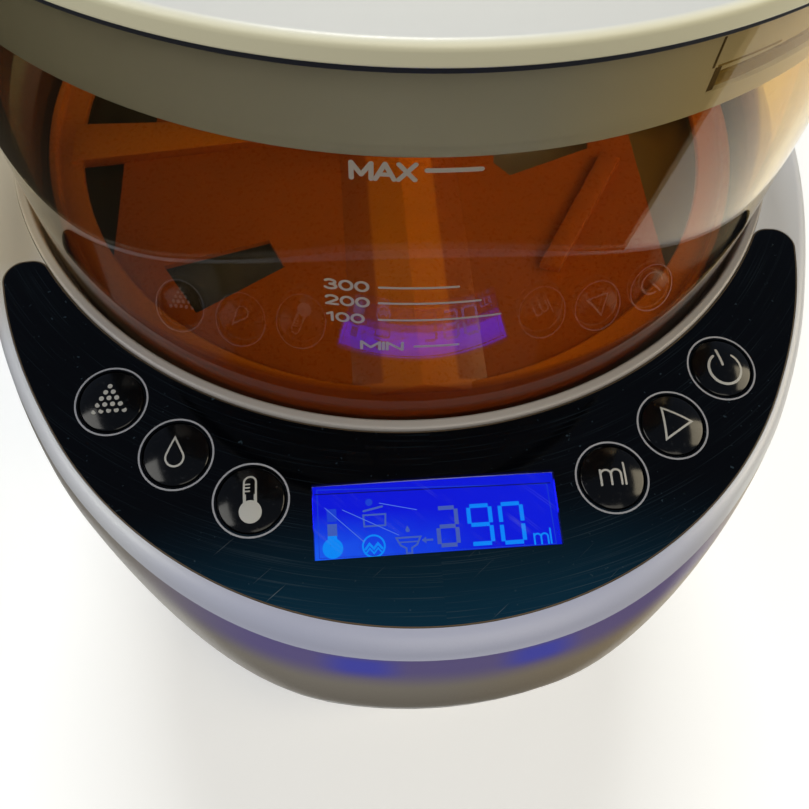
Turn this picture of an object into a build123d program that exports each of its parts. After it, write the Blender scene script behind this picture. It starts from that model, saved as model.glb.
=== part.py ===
"""Countertop infant formula maker.

A round smoky powder container stands on a broad head that carries a sloping control panel.
The head reaches forward from a rear column over an open bottle bay.  Powder falls through a
chute into a slide-in funnel, where warm water from a tank at the back joins it.

Frame: millimetres, +Z up, +X to the right seen from the front, the front faces -Y.
The origin is on the standing surface, under the middle of the bounding box.
"""
import os
from math import acos, cos, pi, radians, sin, sqrt, tan

from build123d import *

# ---------------------------------------------------------------- driving dimensions
WIDTH = 229.0                 # head, side to side
DEPTH = 337.0                 # head front to base back
HEIGHT = 368.0                # feet to top of the powder lid
FRONT_Y = -DEPTH / 2
BACK_Y = DEPTH / 2
WALL = 2.5                    # moulded casing wall
GAP = 0.3                     # least gap between pieces that move past each other

TUB_Y = -10.0                 # the powder container's axis stands at x = 0, y = TUB_Y
LIP_Z = 257.0                 # top of the collar round the powder container
LIP_R = 104.0
LIP_BORE_R = 101.5
RECESS_DEPTH = 15.0           # below the collar's top
SEAT_PAD = 1.0                # raised ring that the container stands on

HEAD_FRONT_R = 108.3          # front arc of the head's widest outline
HEAD_FLARE = 12.0             # degrees the flanks still spread where the front arc ends
HEAD_BACK_Y = 116.0
HEAD_CORNER_R = 30.0
HEAD_BOTTOM_Z = 200.0
HEAD_SPLIT_Z = 224.0          # widest contour, where the head's two shells meet

PANEL_SLOPE = 6.1             # degrees, the panel is a shallow cone round the container
PANEL_DROP = 1.07             # below the collar's top, at the collar
PANEL_R = 96.8                # outer edge, about the centre of the head's front arc
PANEL_END_Y = TUB_Y - 51.8    # the crescent's two ends
PANEL_THICK = 1.2
DECK_THICK = 3.7              # overlay and casing together
BUTTON_R = 7.3
BUTTON_DOME = 1.5
BUTTON_TRAVEL = 0.8
BUTTON_SPOTS = ((116.0, 38.0), (119.6, 28.1), (123.9, 18.8))   # radius, degrees off the front
LCD_W, LCD_D = 53.5, 16.6
LCD_Y = TUB_Y - 123.2

TUB_LIP_R = 100.5             # container's outside radius at the collar
TUB_TOP_R = 101.7
TUB_TOP = 96.9                # above the collar
TUB_BOTTOM = -13.7
TUB_WALL = 2.3
FLOOR_THICK = 3.0
LID_R = 104.3
LID_BASE = 98.3
LID_EDGE = 102.0              # upper face of the lid's flat rim
LID_TOP = HEIGHT - LIP_Z
LID_CROWN_R = 90.0            # raised middle of the lid
SKIRT_BOTTOM = 81.3
OUTLET_RADIUS = 65.0          # from the container's axis to its outlet, towards the front
OUTLET_Y = TUB_Y - OUTLET_RADIUS
WHEEL_TOP = -7.0              # upper face of the stirring wheel's ring
WHEEL_RING_R = 88.0
WHEEL_R = 97.0

GEAR_TEETH, PINION_TEETH, GEAR_MODULE = 54, 18, 1.2
GEAR_SPREAD = 0.15            # extra distance between the two gear centres
PINION_Y = TUB_Y + (GEAR_TEETH + PINION_TEETH) * GEAR_MODULE / 2 + GEAR_SPREAD

BASE_R = 98.0                 # half the base's width, and its front arc
BASE_FRONT_Y = -130.0
BASE_CORNER_R = 45.0
FOOT_Z = 3.0
BASE_TOP_Z = 20.0
COLUMN_FRONT_Y = -8.0
DECK_Z = 58.0                 # ledge behind the column, where the tank stands

TANK_FRONT_Y = 119.0
TANK_BOTTOM_Z = 62.0
TANK_TOP_Z = 312.0
TANK_PORT_Y = 142.0
HINGE_Y, HINGE_Z = 162.5, 316.5
EAR_X = 47.0                  # the tank's two hinge ears, either side of the middle

FUNNEL_Y = -75.0              # funnel, chute and bottle share this centre
RAIL_Z = 186.0
STAND_LIFT = 50.0
HOSE_R, HOSE_BORE_R = 3.5, 2.1

LOW = (Align.CENTER, Align.CENTER, Align.MIN)


# ---------------------------------------------------------------- shared shapes
def disc(r, z0, z1, x=0.0, y=TUB_Y):
    return Pos(x, y, z0) * Cylinder(r, z1 - z0, align=LOW)


def ring(r_out, r_in, z0, z1, x=0.0, y=TUB_Y):
    return disc(r_out, z0, z1, x, y) - disc(r_in, z0 - 1, z1 + 1, x, y)


def block(x0, x1, y0, y1, z0, z1):
    return Pos((x0 + x1) / 2, (y0 + y1) / 2, z0) * Box(x1 - x0, y1 - y0, z1 - z0, align=LOW)


def prism(face, z0, z1):
    return extrude(Pos(0, 0, z0) * face, z1 - z0, dir=(0, 0, 1))


def spot(radius, angle, z=0.0):
    """A point by its radius from the container's axis and its angle off the front."""
    return (radius * sin(radians(angle)), TUB_Y - radius * cos(radians(angle)), z)


def turned(points, x=0.0, y=TUB_Y):
    """A solid turned about an upright axis from (radius, z) points."""
    outline = Polyline(*[(r, z) for r, z in points], close=True)
    return Pos(x, y, 0) * revolve(make_face(Plane.XZ * outline), Axis.Z)


def union(solids):
    total = solids[0]
    for solid in solids[1:]:
        total = total + solid
    return total


def stack(outline, levels):
    """A smooth shell body through (inset, z) levels of one outline."""
    return loft([Pos(0, 0, z) * outline(inset) for inset, z in levels])


def head_outline(inset):
    """Plan of the head: a front arc, two flanks that straighten, and a squarer back."""
    flare = radians(HEAD_FLARE)
    centre_y = FRONT_Y + HEAD_FRONT_R
    r = HEAD_FRONT_R - inset
    join = (r * cos(flare), centre_y - r * sin(flare))
    flank = (WIDTH / 2 - HEAD_FRONT_R * cos(flare)) / (1 - cos(flare))
    flank_y = centre_y - HEAD_FRONT_R * sin(flare) + flank * sin(flare)
    half = WIDTH / 2 - inset
    back = HEAD_BACK_Y - inset
    bend = HEAD_CORNER_R - inset
    mid = radians(HEAD_FLARE / 2)
    flank_mid = (half - (flank - inset) * (1 - cos(mid)), flank_y - (flank - inset) * sin(mid))
    corner = back - bend
    corner_mid = (half - bend * (1 - cos(pi / 4)), corner + bend * sin(pi / 4))
    edges = [ThreePointArc((-join[0], join[1]), (0, centre_y - r), join)]
    for side in (1, -1):
        edges += [
            ThreePointArc((side * join[0], join[1]), (side * flank_mid[0], flank_mid[1]),
                          (side * half, flank_y)),
            Line((side * half, flank_y), (side * half, corner)),
            ThreePointArc((side * half, corner), (side * corner_mid[0], corner_mid[1]),
                          (side * (half - bend), back)),
        ]
    edges.append(Line((half - bend, back), (-(half - bend), back)))
    return make_face(edges)


def base_outline(inset):
    """Plan of the base: a half circle in front and rounded corners at the back."""
    r = BASE_R - inset
    arc_y = BASE_FRONT_Y + BASE_R
    back = BACK_Y - inset
    bend = BASE_CORNER_R - inset
    corner = back - bend
    edges = [ThreePointArc((-r, arc_y), (0, arc_y - r), (r, arc_y))]
    for side in (1, -1):
        mid = (side * (r - bend * (1 - cos(pi / 4))), corner + bend * sin(pi / 4))
        edges += [Line((side * r, arc_y), (side * r, corner)),
                  ThreePointArc((side * r, corner), mid, (side * (r - bend), back))]
    edges.append(Line((r - bend, back), (-(r - bend), back)))
    return make_face(edges)


def behind(face, y):
    """The part of a plan that lies behind y."""
    return face & (Pos(0, y + 200) * Rectangle(400, 400))


def panel_z(radius):
    return LIP_Z - PANEL_DROP - tan(radians(PANEL_SLOPE)) * (radius - LIP_R)


def cone_layer(top, bottom, r0=60.0, r1=170.0):
    """A layer parallel to the panel, from top to bottom below its surface."""
    return turned([(r0, panel_z(r0) - top), (r1, panel_z(r1) - top),
                   (r1, panel_z(r1) - bottom), (r0, panel_z(r0) - bottom)])


def panel_outline(clearance=0.0):
    """The crescent between the collar and the head's front rim, with rounded ends."""
    centre_y = FRONT_Y + HEAD_FRONT_R
    crescent = Pos(0, centre_y) * Circle(PANEL_R - clearance)
    crescent = crescent - Pos(0, TUB_Y) * Circle(LIP_R + 0.2 + clearance)
    crescent = crescent & (Pos(0, PANEL_END_Y - clearance - 150) * Rectangle(300, 300))
    crescent = crescent.faces().sort_by(Axis.Y)[0]
    return fillet(crescent.vertices(), 2.8)


def lcd_hole(margin=0.0):
    return block(-LCD_W / 2 - margin, LCD_W / 2 + margin, LCD_Y - LCD_D / 2 - margin,
                 LCD_Y + LCD_D / 2 + margin, LIP_Z - 30, LIP_Z + 5)


def button_frames():
    """Local frames of the six buttons, left to right, with z along the panel's normal."""
    tilt = radians(PANEL_SLOPE)
    spots = [(r, -a) for r, a in BUTTON_SPOTS] + [(r, a) for r, a in reversed(BUTTON_SPOTS)]
    frames = []
    for radius, angle in spots:
        a = radians(angle)
        normal = (sin(tilt) * sin(a), -sin(tilt) * cos(a), cos(tilt))
        frames.append(Plane(origin=spot(radius, angle, panel_z(radius)), z_dir=normal))
    return frames


def button_holes():
    return [frame * Pos(0, 0, -12) * Cylinder(BUTTON_R + GAP, 16, align=LOW)
            for frame in button_frames()]


def hose(points):
    """A silicone hose along straight runs, each corner as round as its runs allow."""
    runs = [Vector(*b) - Vector(*a) for a, b in zip(points, points[1:])]
    radii = [round(0.45 * min(a.length, b.length) / tan(radians(a.get_angle(b)) / 2), 1)
             for a, b in zip(runs, runs[1:])]
    path = FilletPolyline(*points, radius=radii)
    start = Plane(origin=path @ 0, z_dir=path % 0)
    tube = sweep(start * (Circle(HOSE_R) - Circle(HOSE_BORE_R)), path=path)
    section = pi * (HOSE_R ** 2 - HOSE_BORE_R ** 2)
    print("hose", round(path.length), "mm, radii", radii, "volume ratio",
          round(tube.volume / (section * path.length), 4))
    return tube


def gear_blank(teeth, z0, z1, x, y, turn=0.0, backlash=0.12):
    """A spur gear of straight-cut involute teeth, each flank two short flats."""
    pitch_r = teeth * GEAR_MODULE / 2
    base_r = pitch_r * cos(radians(20))
    tip_r, root_r = pitch_r + GEAR_MODULE, pitch_r - 1.3 * GEAR_MODULE

    def half_angle(r):
        at_pitch = tan(radians(20)) - radians(20)
        lean = acos(min(1.0, base_r / r))
        return pi / (2 * teeth) - backlash / pitch_r + at_pitch - (tan(lean) - lean)

    flank = [max(base_r, root_r), pitch_r, tip_r]
    points = []
    for tooth in range(teeth):
        middle = 2 * pi * tooth / teeth + radians(turn)
        rising = [(root_r, middle - half_angle(flank[0]))] if root_r < base_r else []
        rising += [(r, middle - half_angle(r)) for r in flank]
        falling = [(r, 2 * middle - a) for r, a in reversed(rising)]
        points += [(r * cos(a), r * sin(a)) for r, a in rising + falling]
    return Pos(x, y, 0) * prism(make_face(Polyline(*points, close=True)), z0, z1)


def screw(x, y, z, length, head_r=3.0, shank_r=1.4):
    """A pan-head screw driven upwards, its head's lower face at z."""
    head = disc(head_r, z, z + 2, x, y) - Pos(x, y, z) * Box(3.4, 0.9, 1.6)
    return head - Pos(x, y, z) * Box(0.9, 3.4, 1.6) + disc(shank_r, z + 2, z + length, x, y)


# ---------------------------------------------------------------- base and column
BASE_SCREWS = [(sx * 78.0, y) for sx in (-1, 1) for y in (-72.0, 112.0)]
FEET = [(sx * 62.0, y) for sx in (-1, 1) for y in (-82.0, 128.0)]


def base_shell():
    body = prism(base_outline(0), FOOT_Z, BASE_TOP_Z)
    body = fillet(body.faces().sort_by(Axis.Z)[-1].edges(), 4.0)
    body -= prism(base_outline(WALL), FOOT_Z - 1, BASE_TOP_Z - WALL)
    body -= prism(behind(base_outline(7.0), 2.0), BASE_TOP_Z - 5, BASE_TOP_Z + 1)
    for x, y in BASE_SCREWS:
        top = BASE_TOP_Z - WALL if y < 0 else BASE_TOP_Z
        body += disc(4.0, FOOT_Z + WALL, top, x, y)
        body -= disc(1.4, FOOT_Z, FOOT_Z + 12, x, y)
    for x, y in BASE_SCREWS[1::2]:
        body += block(min(x, x * 1.24), max(x, x * 1.24), y - 1.2, y + 1.2, 8, BASE_TOP_Z)
        body -= disc(1.4, FOOT_Z, FOOT_Z + 12, x, y)
    return body


def bottom_plate():
    plate = prism(base_outline(WALL + GAP), FOOT_Z, FOOT_Z + WALL)
    for i in range(-4, 5):
        plate -= block(i * 9.0 - 1.5, i * 9.0 + 1.5, 20, 90, 0, 10)
    for x, y in BASE_SCREWS:
        plate -= disc(1.6, 0, 10, x, y)
    return plate


def rubber_feet():
    outline = [(0, 0), (8.2, 0), (9, 0.8), (9, FOOT_Z), (0, FOOT_Z)]
    return [turned(outline, x, y) for x, y in FEET]


def base_screws():
    return [screw(x, y, FOOT_Z - 2, 12) for x, y in BASE_SCREWS]


def column_shell():
    """The upright behind the bottle bay, with the low ledge that carries the tank."""
    depth = HEAD_BACK_Y - COLUMN_FRONT_Y
    middle = (HEAD_BACK_Y + COLUMN_FRONT_Y) / 2
    width = 2 * (BASE_R - 1)
    body = prism(Pos(0, middle) * RectangleRounded(width, depth, 18), BASE_TOP_Z, HEAD_BOTTOM_Z)
    body += prism(behind(base_outline(1), middle), BASE_TOP_Z, DECK_Z)
    hollow = RectangleRounded(width - 2 * WALL, depth - 2 * WALL, 18 - WALL)
    body -= prism(Pos(0, middle) * hollow, BASE_TOP_Z - 1, HEAD_BOTTOM_Z + 1)
    body -= prism(behind(base_outline(1 + WALL), middle), BASE_TOP_Z - 1, DECK_Z - WALL)
    body -= disc(16.2, DECK_Z - 5, DECK_Z + 1, 0, TANK_PORT_Y)
    for x in (-30, 30):
        body -= block(x - 3, x + 3, COLUMN_FRONT_Y - 1, COLUMN_FRONT_Y + 4, 21.5,
                      34 + STAND_LIFT)
    body -= block(-75.5, -45.5, 150, BACK_Y, 26.5, 47.5)
    return body


def power_inlet():
    """Mains appliance inlet, a deep rectangular socket with three blades."""
    y1 = BACK_Y - 1
    y0 = y1 - 22
    shell = block(-75, -46, y0, y1, 27, 47)
    shell -= block(-72.5, -48.5, y0 + 4, y1 + 1, 29.5, 44.5)
    blades = [block(x - 1, x + 1, y0 + 3, y1 - 5, z - 2, z + 2)
              for x, z in ((-67.5, 34), (-53.5, 34), (-60.5, 39.5))]
    return union([shell] + blades)


# ---------------------------------------------------------------- head casings
HEAD_SCREWS = [(sx * x, y) for sx in (-1, 1) for x, y in ((34.2, -139.0), (84.0, 90.0))]
CHUTE_W, CHUTE_D = 36.0, 28.0
NOZZLE_X = -27.0
TRAY_POSTS = [(sx * 34.0, y) for sx in (-1, 1) for y in (-34.0, 56.0)]


def head_base():
    body = stack(head_outline, [(15, HEAD_BOTTOM_Z), (8.6, 202.6), (3.8, 207.5), (1.0, 215),
                                (0, HEAD_SPLIT_Z)])
    body -= stack(head_outline, [(17.2, 202.6), (11.2, 205), (6.4, 209.3), (3.5, 216),
                                 (2.5, HEAD_SPLIT_Z + 0.1)])
    body -= block(-20, 20, 14, 54, HEAD_BOTTOM_Z - 1, 206)
    body -= block(-70, -44, 40, 84, HEAD_BOTTOM_Z - 1, 206)
    body -= block(44, 70, 40, 84, HEAD_BOTTOM_Z - 1, 206)
    body -= block(-CHUTE_W / 2, CHUTE_W / 2, OUTLET_Y - CHUTE_D / 2, OUTLET_Y + CHUTE_D / 2,
                  HEAD_BOTTOM_Z - 1, 206)
    body -= disc(4.0, HEAD_BOTTOM_Z - 1, 206, NOZZLE_X, OUTLET_Y)
    for x, y in HEAD_SCREWS:
        body -= disc(1.6, HEAD_BOTTOM_Z - 1, 206, x, y)
        body -= disc(3.3, HEAD_BOTTOM_Z - 1, HEAD_BOTTOM_Z + 1.4, x, y)
    return body


def container_well():
    """The deep cup that the powder container stands in; its top edge is the head's collar."""
    floor = LIP_Z - RECESS_DEPTH
    body = disc(LIP_R, floor - WALL, LIP_Z) - disc(LIP_BORE_R, floor, LIP_Z + 1)
    body = fillet(body.edges().group_by(Axis.Z)[-1], 0.6)
    body += ring(94.0, 90.0, floor, floor + SEAT_PAD)
    body -= disc(13.5, floor - 5, floor + 5)
    return body - block(-CHUTE_W / 2, CHUTE_W / 2, OUTLET_Y - CHUTE_D / 2,
                        OUTLET_Y + CHUTE_D / 2, floor - 5, floor + 5)


def head_cover():
    """The upper shell: rolled rim and sloping deck, open in the middle for the well."""
    body = stack(head_outline, [(0, HEAD_SPLIT_Z), (1.0, 234), (3.1, 241.5), (5.9, 247),
                                (8.2, 249.7), (10.9, 251.2)])
    deck_plan = prism(head_outline(10.9), 246, LIP_Z)
    body += deck_plan & cone_layer(0, 40, LIP_R - 1)
    cavity = stack(head_outline, [(2.5, HEAD_SPLIT_Z - 0.1), (3.5, 234), (5.6, 240),
                                  (8.6, 244.8), (11, 246.4)])
    cavity += prism(head_outline(13.8), 240, LIP_Z) & cone_layer(DECK_THICK, 40, LIP_R - 1)
    body -= cavity
    body -= disc(LIP_R, HEAD_SPLIT_Z - 1, LIP_Z + 12)
    body -= disc(170, LIP_Z, LIP_Z + 30)
    for x, y in HEAD_SCREWS:
        radius = sqrt(x * x + (y - TUB_Y) ** 2)
        body += disc(4.0, 203, panel_z(radius) - 3.0, x, y)
        body -= disc(1.4, 202, 218, x, y)
    for x, y in PCB_POSTS:
        radius = sqrt(x * x + (y - TUB_Y) ** 2)
        body += disc(3.0, PCB_Z, panel_z(radius) - 3.0, x, y)
        body -= disc(1.1, PCB_Z - 1, PCB_Z + 5, x, y)
    body -= prism(panel_outline(), 230, 270) & cone_layer(-3, PANEL_THICK)
    for hole in button_holes():
        body -= hole
    return body - lcd_hole()


def head_screws():
    return [screw(x, y, HEAD_BOTTOM_Z - 0.6, 16) for x, y in HEAD_SCREWS]


# ---------------------------------------------------------------- control panel
PCB_Z = LIP_Z - 17.5
PCB_POSTS = [spot(r, side * a)[:2] for side in (-1, 1) for r, a in ((113, 48), (129.5, 24))]
STEM_END = -8.6               # lower end of a button's stem, below the panel


def panel_overlay():
    plate = prism(panel_outline(0.1), 230, 270) & cone_layer(0, PANEL_THICK)
    for hole in button_holes():
        plate -= hole
    return plate - lcd_hole()


def lcd_window():
    return lcd_hole(-0.1) & cone_layer(0, PANEL_THICK)


def lcd_module():
    """Backlit display glass in its frame, tilted with the panel."""
    z = panel_z(TUB_Y - LCD_Y) - PANEL_THICK - 0.5
    place = Pos(0, LCD_Y, z) * Rot(PANEL_SLOPE, 0, 0)
    glass = place * Pos(0, 0, -2.6) * Box(LCD_W - 1.2, LCD_D - 1.2, 2.6, align=LOW)
    frame = place * Pos(0, 0, -6.6) * Box(LCD_W + 4.4, LCD_D + 5, 3.6, align=LOW)
    return glass + frame + place * Pos(0, 0, -3.1) * Box(LCD_W - 6, LCD_D - 6, 0.6, align=LOW)


def button_cap(frame):
    """A domed cap with a flange below the deck and a stem over its key switch."""
    crown_r = (BUTTON_R ** 2 + BUTTON_DOME ** 2) / (2 * BUTTON_DOME)
    flange = -DECK_THICK - GAP
    mid_r = BUTTON_R / 2
    mid_z = BUTTON_DOME - crown_r + sqrt(crown_r ** 2 - mid_r ** 2)
    edges = [ThreePointArc((0, BUTTON_DOME), (mid_r, mid_z), (BUTTON_R, 0)),
             Polyline((BUTTON_R, 0), (BUTTON_R, flange), (BUTTON_R + 1.2, flange),
                      (BUTTON_R + 1.2, flange - 1.2), (2.2, flange - 1.2), (2.2, STEM_END),
                      (0, STEM_END), (0, BUTTON_DOME))]
    return frame * revolve(Plane.XZ * make_face(edges), Axis.Z)


def key_switches():
    """Tactile switches on the control board, one under each button."""
    switches = []
    for frame in button_frames():
        top = frame * Pos(0, 0, STEM_END - BUTTON_TRAVEL - GAP)
        x, y, z = top.position
        switches.append(Pos(x, y, PCB_Z) * Box(6, 6, 3.6, align=LOW)
                        + disc(1.7, PCB_Z + 3.6, z, x, y))
    return switches


def control_board():
    """Crescent board under the panel with its controller and a connector."""
    centre_y = FRONT_Y + HEAD_FRONT_R
    plan = Pos(0, centre_y) * Circle(90) - Pos(0, TUB_Y) * Circle(106)
    plan = plan & (Pos(0, TUB_Y - 62 - 150) * Rectangle(300, 300))
    board = prism(plan, PCB_Z - 1.6, PCB_Z)
    for x, y in PCB_POSTS:
        board -= disc(1.3, PCB_Z - 5, PCB_Z + 5, x, y)
    for x, y in HEAD_SCREWS:
        board -= disc(4.5, PCB_Z - 5, PCB_Z + 5, x, y)
    board += block(-6, 6, -136, -124, PCB_Z - 3.4, PCB_Z - 1.6)
    board += block(8, 26, -136, -129, PCB_Z - 8, PCB_Z - 1.6)
    for i in range(5):
        board += block(-40 + 5 * i, -37.5 + 5 * i, -133, -131.5, PCB_Z - 2.4, PCB_Z - 1.6)
    return board


def board_screws():
    return [screw(x, y, PCB_Z - 3.6, 7, 2.2, 1.1) for x, y in PCB_POSTS]


# ---------------------------------------------------------------- powder container
def powder_tub():
    """Clear container: tapered wall, floor with hub hole and outlet, three bayonet lugs."""
    z = LIP_Z
    in_floor = TUB_BOTTOM + FLOOR_THICK
    wall = turned([(14.5, z + TUB_BOTTOM), (95, z + TUB_BOTTOM), (98.4, z + TUB_BOTTOM + 1.5),
                   (100.2, z + TUB_BOTTOM + 5), (TUB_LIP_R, z), (TUB_TOP_R, z + TUB_TOP),
                   (TUB_TOP_R - TUB_WALL, z + TUB_TOP), (TUB_LIP_R - TUB_WALL, z),
                   (TUB_LIP_R - TUB_WALL - 0.2, z + in_floor + 2), (96, z + in_floor),
                   (14.5, z + in_floor)])
    wall -= block(-15, 15, OUTLET_Y - 11, OUTLET_Y + 11, z + TUB_BOTTOM - 1, z + in_floor + 1)
    lug = ring(TUB_TOP_R - TUB_WALL + 0.3, 97.9, z + 86.0, z + 89.8)
    for turn in (0, 120, 240):
        wall += lug & wedge(41.5 + turn, 4.0, z + 80, z + 95)
    return wall


def wedge(angle, spread, z0, z1, reach=120.0):
    """A tall wedge from the container's axis, spread degrees wide, centred on angle."""
    a, b = spot(reach, angle - spread / 2), spot(reach, angle + spread / 2)
    outline = Polyline((0, TUB_Y), a[:2], b[:2], close=True)
    return prism(make_face(outline), z0, z1)


def hub_seal():
    """Rubber ring in the floor's hub hole; the stirring wheel turns inside it."""
    z = LIP_Z + TUB_BOTTOM
    return ring(14.5, 12.3, z + 0.4, z + FLOOR_THICK - 0.1)


def tub_lid():
    """Flat rim round a raised, hollow middle."""
    z = LIP_Z
    rim = disc(LID_R, z + LID_BASE, z + LID_EDGE)
    rim = fillet(rim.edges().sort_by(Axis.Z)[-1], 1.2)
    crown = disc(LID_CROWN_R, z + LID_BASE, z + LID_TOP)
    crown = fillet(crown.edges().sort_by(Axis.Z)[-1], 4.0)
    body = rim + crown
    body -= disc(LID_CROWN_R - 3.2, z + LID_BASE - 1, z + LID_TOP - 3.2)
    body += ring(40, 38, z + LID_TOP - 6, z + LID_TOP - 3.0)
    return body


def lid_skirt():
    """Inner ring of the lid with three L-shaped bayonet channels in its outside."""
    z = LIP_Z
    body = ring(98.6, 96.4, z + SKIRT_BOTTOM, z + LID_BASE)
    channel = ring(100.0, 97.5, z + 85.6, z + 90.2)
    entry = ring(100.0, 97.5, z + SKIRT_BOTTOM - 1, z + 90.2)
    for turn in (0, 120, 240):
        body -= channel & wedge(33.2 + turn, 23.8, z + 80, z + 95)
        body -= entry & wedge(41.5 + turn, 7.2, z + 80, z + 95)
    return body


def lid_seal():
    return ring(TUB_TOP_R + 0.4, 98.8, LIP_Z + TUB_TOP + GAP, LIP_Z + LID_BASE)


def stirring_wheel():
    """Rotor on the container's floor: ring, plate with windows, arms and hub."""
    z = LIP_Z + WHEEL_TOP
    body = ring(WHEEL_R, WHEEL_RING_R, z - 2.2, z) + ring(WHEEL_R, WHEEL_R - 2, z - 2.2, z + 2)
    plate = disc(WHEEL_RING_R + 1, z - 2.9, z - 1.4)
    plate &= block(-76, 68, TUB_Y - 100, TUB_Y, 0, 400) + block(-68, 76, TUB_Y, TUB_Y + 100, 0, 400)
    window = [(-63, -48), (-36, -41), (-32, -50), (-54, -63)]
    relief = [(27, -17), (31, -22), (55, -13), (57, 0), (30, 0)]
    arm = [(-90, -13.5), (-40, -8), (-14, -8), (-14, 3), (-40, 0.5), (-90, 0.5)]
    rib = [(58, -16), (34, -54), (39, -56), (63, -19)]
    for side in (1, -1):
        for outline in (window, relief):
            plate -= rotor_prism(outline, side, z - 5, z + 5)
    body += plate
    for side in (1, -1):
        body += rotor_prism(arm, side, z - 2.2, z + 1.2)
        body += rotor_prism(rib, side, z - 2.2, z + 0.8)
        ridge = Polyline((-18, z - 2), (18, z - 2), (0, z + 4), close=True)
        beam = extrude(Pos(0, TUB_Y, 0) * make_face(Plane.XZ * ridge), side * 90)
        body += beam
    body += disc(17, z - 2.9, z + 8) + disc(13, z + 8, z + 18)
    body += disc(11.9, LIP_Z + TUB_BOTTOM, z - 2.9)
    socket = extrude(Pos(0, TUB_Y, 243) * RegularPolygon(7.6, 6, major_radius=False), 15.5)
    return body - socket


def rotor_prism(outline, side, z0, z1):
    """An upright prism on the rotor; side -1 gives its half-turn twin."""
    face = make_face(Polyline(*[(side * x, TUB_Y + side * y) for x, y in outline], close=True))
    return prism(face, z0, z1)


# ---------------------------------------------------------------- drive
def gear_tray():
    body = block(-44, 44, -42, 60, 222.5, 225)
    for x, y in TRAY_POSTS:
        body += disc(4.0, HEAD_BOTTOM_Z + 2.6, 222.5, x, y)
    body += block(-44, 44, 52, 60, 218, 222.5)
    body += disc(6, 225, 227.7)
    body -= disc(3.0, 200, 240)
    return body - disc(5.2, 200, 240, 0, PINION_Y)


def drive_axle():
    return disc(3.0, 219, 250)


def drive_gear():
    """Large gear whose hexagonal dog drives the stirring wheel from below."""
    body = gear_blank(GEAR_TEETH, 228, 236, 0, TUB_Y)
    body += disc(12.0, 236, 243)
    body += extrude(Pos(0, TUB_Y, 243) * RegularPolygon(7.0, 6, major_radius=False), 13)
    return body - disc(3.05, 220, 250.6)


def motor_pinion():
    body = gear_blank(PINION_TEETH, 227, 237, 0, PINION_Y, turn=-90)
    body += disc(4.0, 225.3, 227, 0, PINION_Y)
    return body + disc(1.5, 214, 225.3, 0, PINION_Y)


def drive_motor():
    body = disc(16, 180, 222.2, 0, PINION_Y) + disc(5.0, 222.2, 224.6, 0, PINION_Y)
    body += block(-2, 2, PINION_Y + 12, PINION_Y + 15, 174, 180)
    return body - disc(1.55, 213, 230, 0, PINION_Y)


# ---------------------------------------------------------------- powder and water outlets
def powder_chute():
    x, y = CHUTE_W / 2, CHUTE_D / 2
    top = LIP_Z - RECESS_DEPTH
    body = block(-x, x, OUTLET_Y - y, OUTLET_Y + y, 197.5, top)
    return body - block(-x + 2.2, x - 2.2, OUTLET_Y - y + 2.2, OUTLET_Y + y - 2.2, 190, top + 5)


def chute_seal():
    x, y = 21, 17
    z = LIP_Z - RECESS_DEPTH
    body = block(-x, x, OUTLET_Y - y, OUTLET_Y + y, z, z + SEAT_PAD)
    return body - block(-16, 16, OUTLET_Y - 12, OUTLET_Y + 12, z - 1, z + 2)


def water_nozzle():
    body = disc(3.9, 197.5, 203, NOZZLE_X, OUTLET_Y) + disc(6, 203, 206, NOZZLE_X, OUTLET_Y)
    body += disc(HOSE_R, 206, 209, NOZZLE_X, OUTLET_Y)
    return body - disc(HOSE_BORE_R, 190, 212, NOZZLE_X, OUTLET_Y)


def funnel_rails():
    """Two angle rails under the head, each with a stop at its back end."""
    rails = []
    for s in (-1, 1):
        web = block(min(s * 60, s * 64), max(s * 60, s * 64), -132, -14, RAIL_Z, HEAD_BOTTOM_Z)
        lip = block(min(s * 55.5, s * 60), max(s * 55.5, s * 60), -132, -14, RAIL_Z, RAIL_Z + 3)
        stop = block(min(s * 52, s * 60), max(s * 52, s * 60), -17, -14, RAIL_Z, HEAD_BOTTOM_Z)
        rails.append(web + lip + stop)
    return rails


def funnel_bowl():
    z = RAIL_Z + 3 + GAP
    plan = Pos(0, FUNNEL_Y + 1.5) * RectangleRounded(119, 109, 8)
    body = prism(plan, z, z + 2.7)
    body += turned([(0, z + 2), (52, z + 2), (52, z), (13, 175), (11, 166), (0, 166)], 0, FUNNEL_Y)
    body += block(-24, 24, -142, -124, z - 3, z + 2.7)
    body -= turned([(0, z + 3), (50, z + 3), (50, z + 0.5), (10.5, 175), (9, 165), (0, 165)],
                   0, FUNNEL_Y)
    return body - block(-19, 19, -140, -131, z - 4, z - 0.3)


def funnel_cover():
    """Cap snapped on the funnel's rim, open under the chute and under the nozzle."""
    z = RAIL_Z + 6 + GAP
    body = disc(54, z - GAP, z + 2, 0, FUNNEL_Y) + disc(49.6, z - 1.5, z, 0, FUNNEL_Y)
    body += block(-22, 22, FUNNEL_Y - 18, FUNNEL_Y + 18, z, z + 4)
    body += disc(7, z, z + 4, NOZZLE_X, FUNNEL_Y)
    body -= block(-17, 17, FUNNEL_Y - 13, FUNNEL_Y + 13, z - 5, z + 6)
    return body - disc(4.6, z - 5, z + 6, NOZZLE_X, FUNNEL_Y)


def funnel_switch():
    """Microswitch behind the funnel that tells the controller it is in place."""
    return block(-8, 8, -13, -8, 189, HEAD_BOTTOM_Z) + block(-1.5, 1.5, -18.4, -13, 190, 192)


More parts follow.
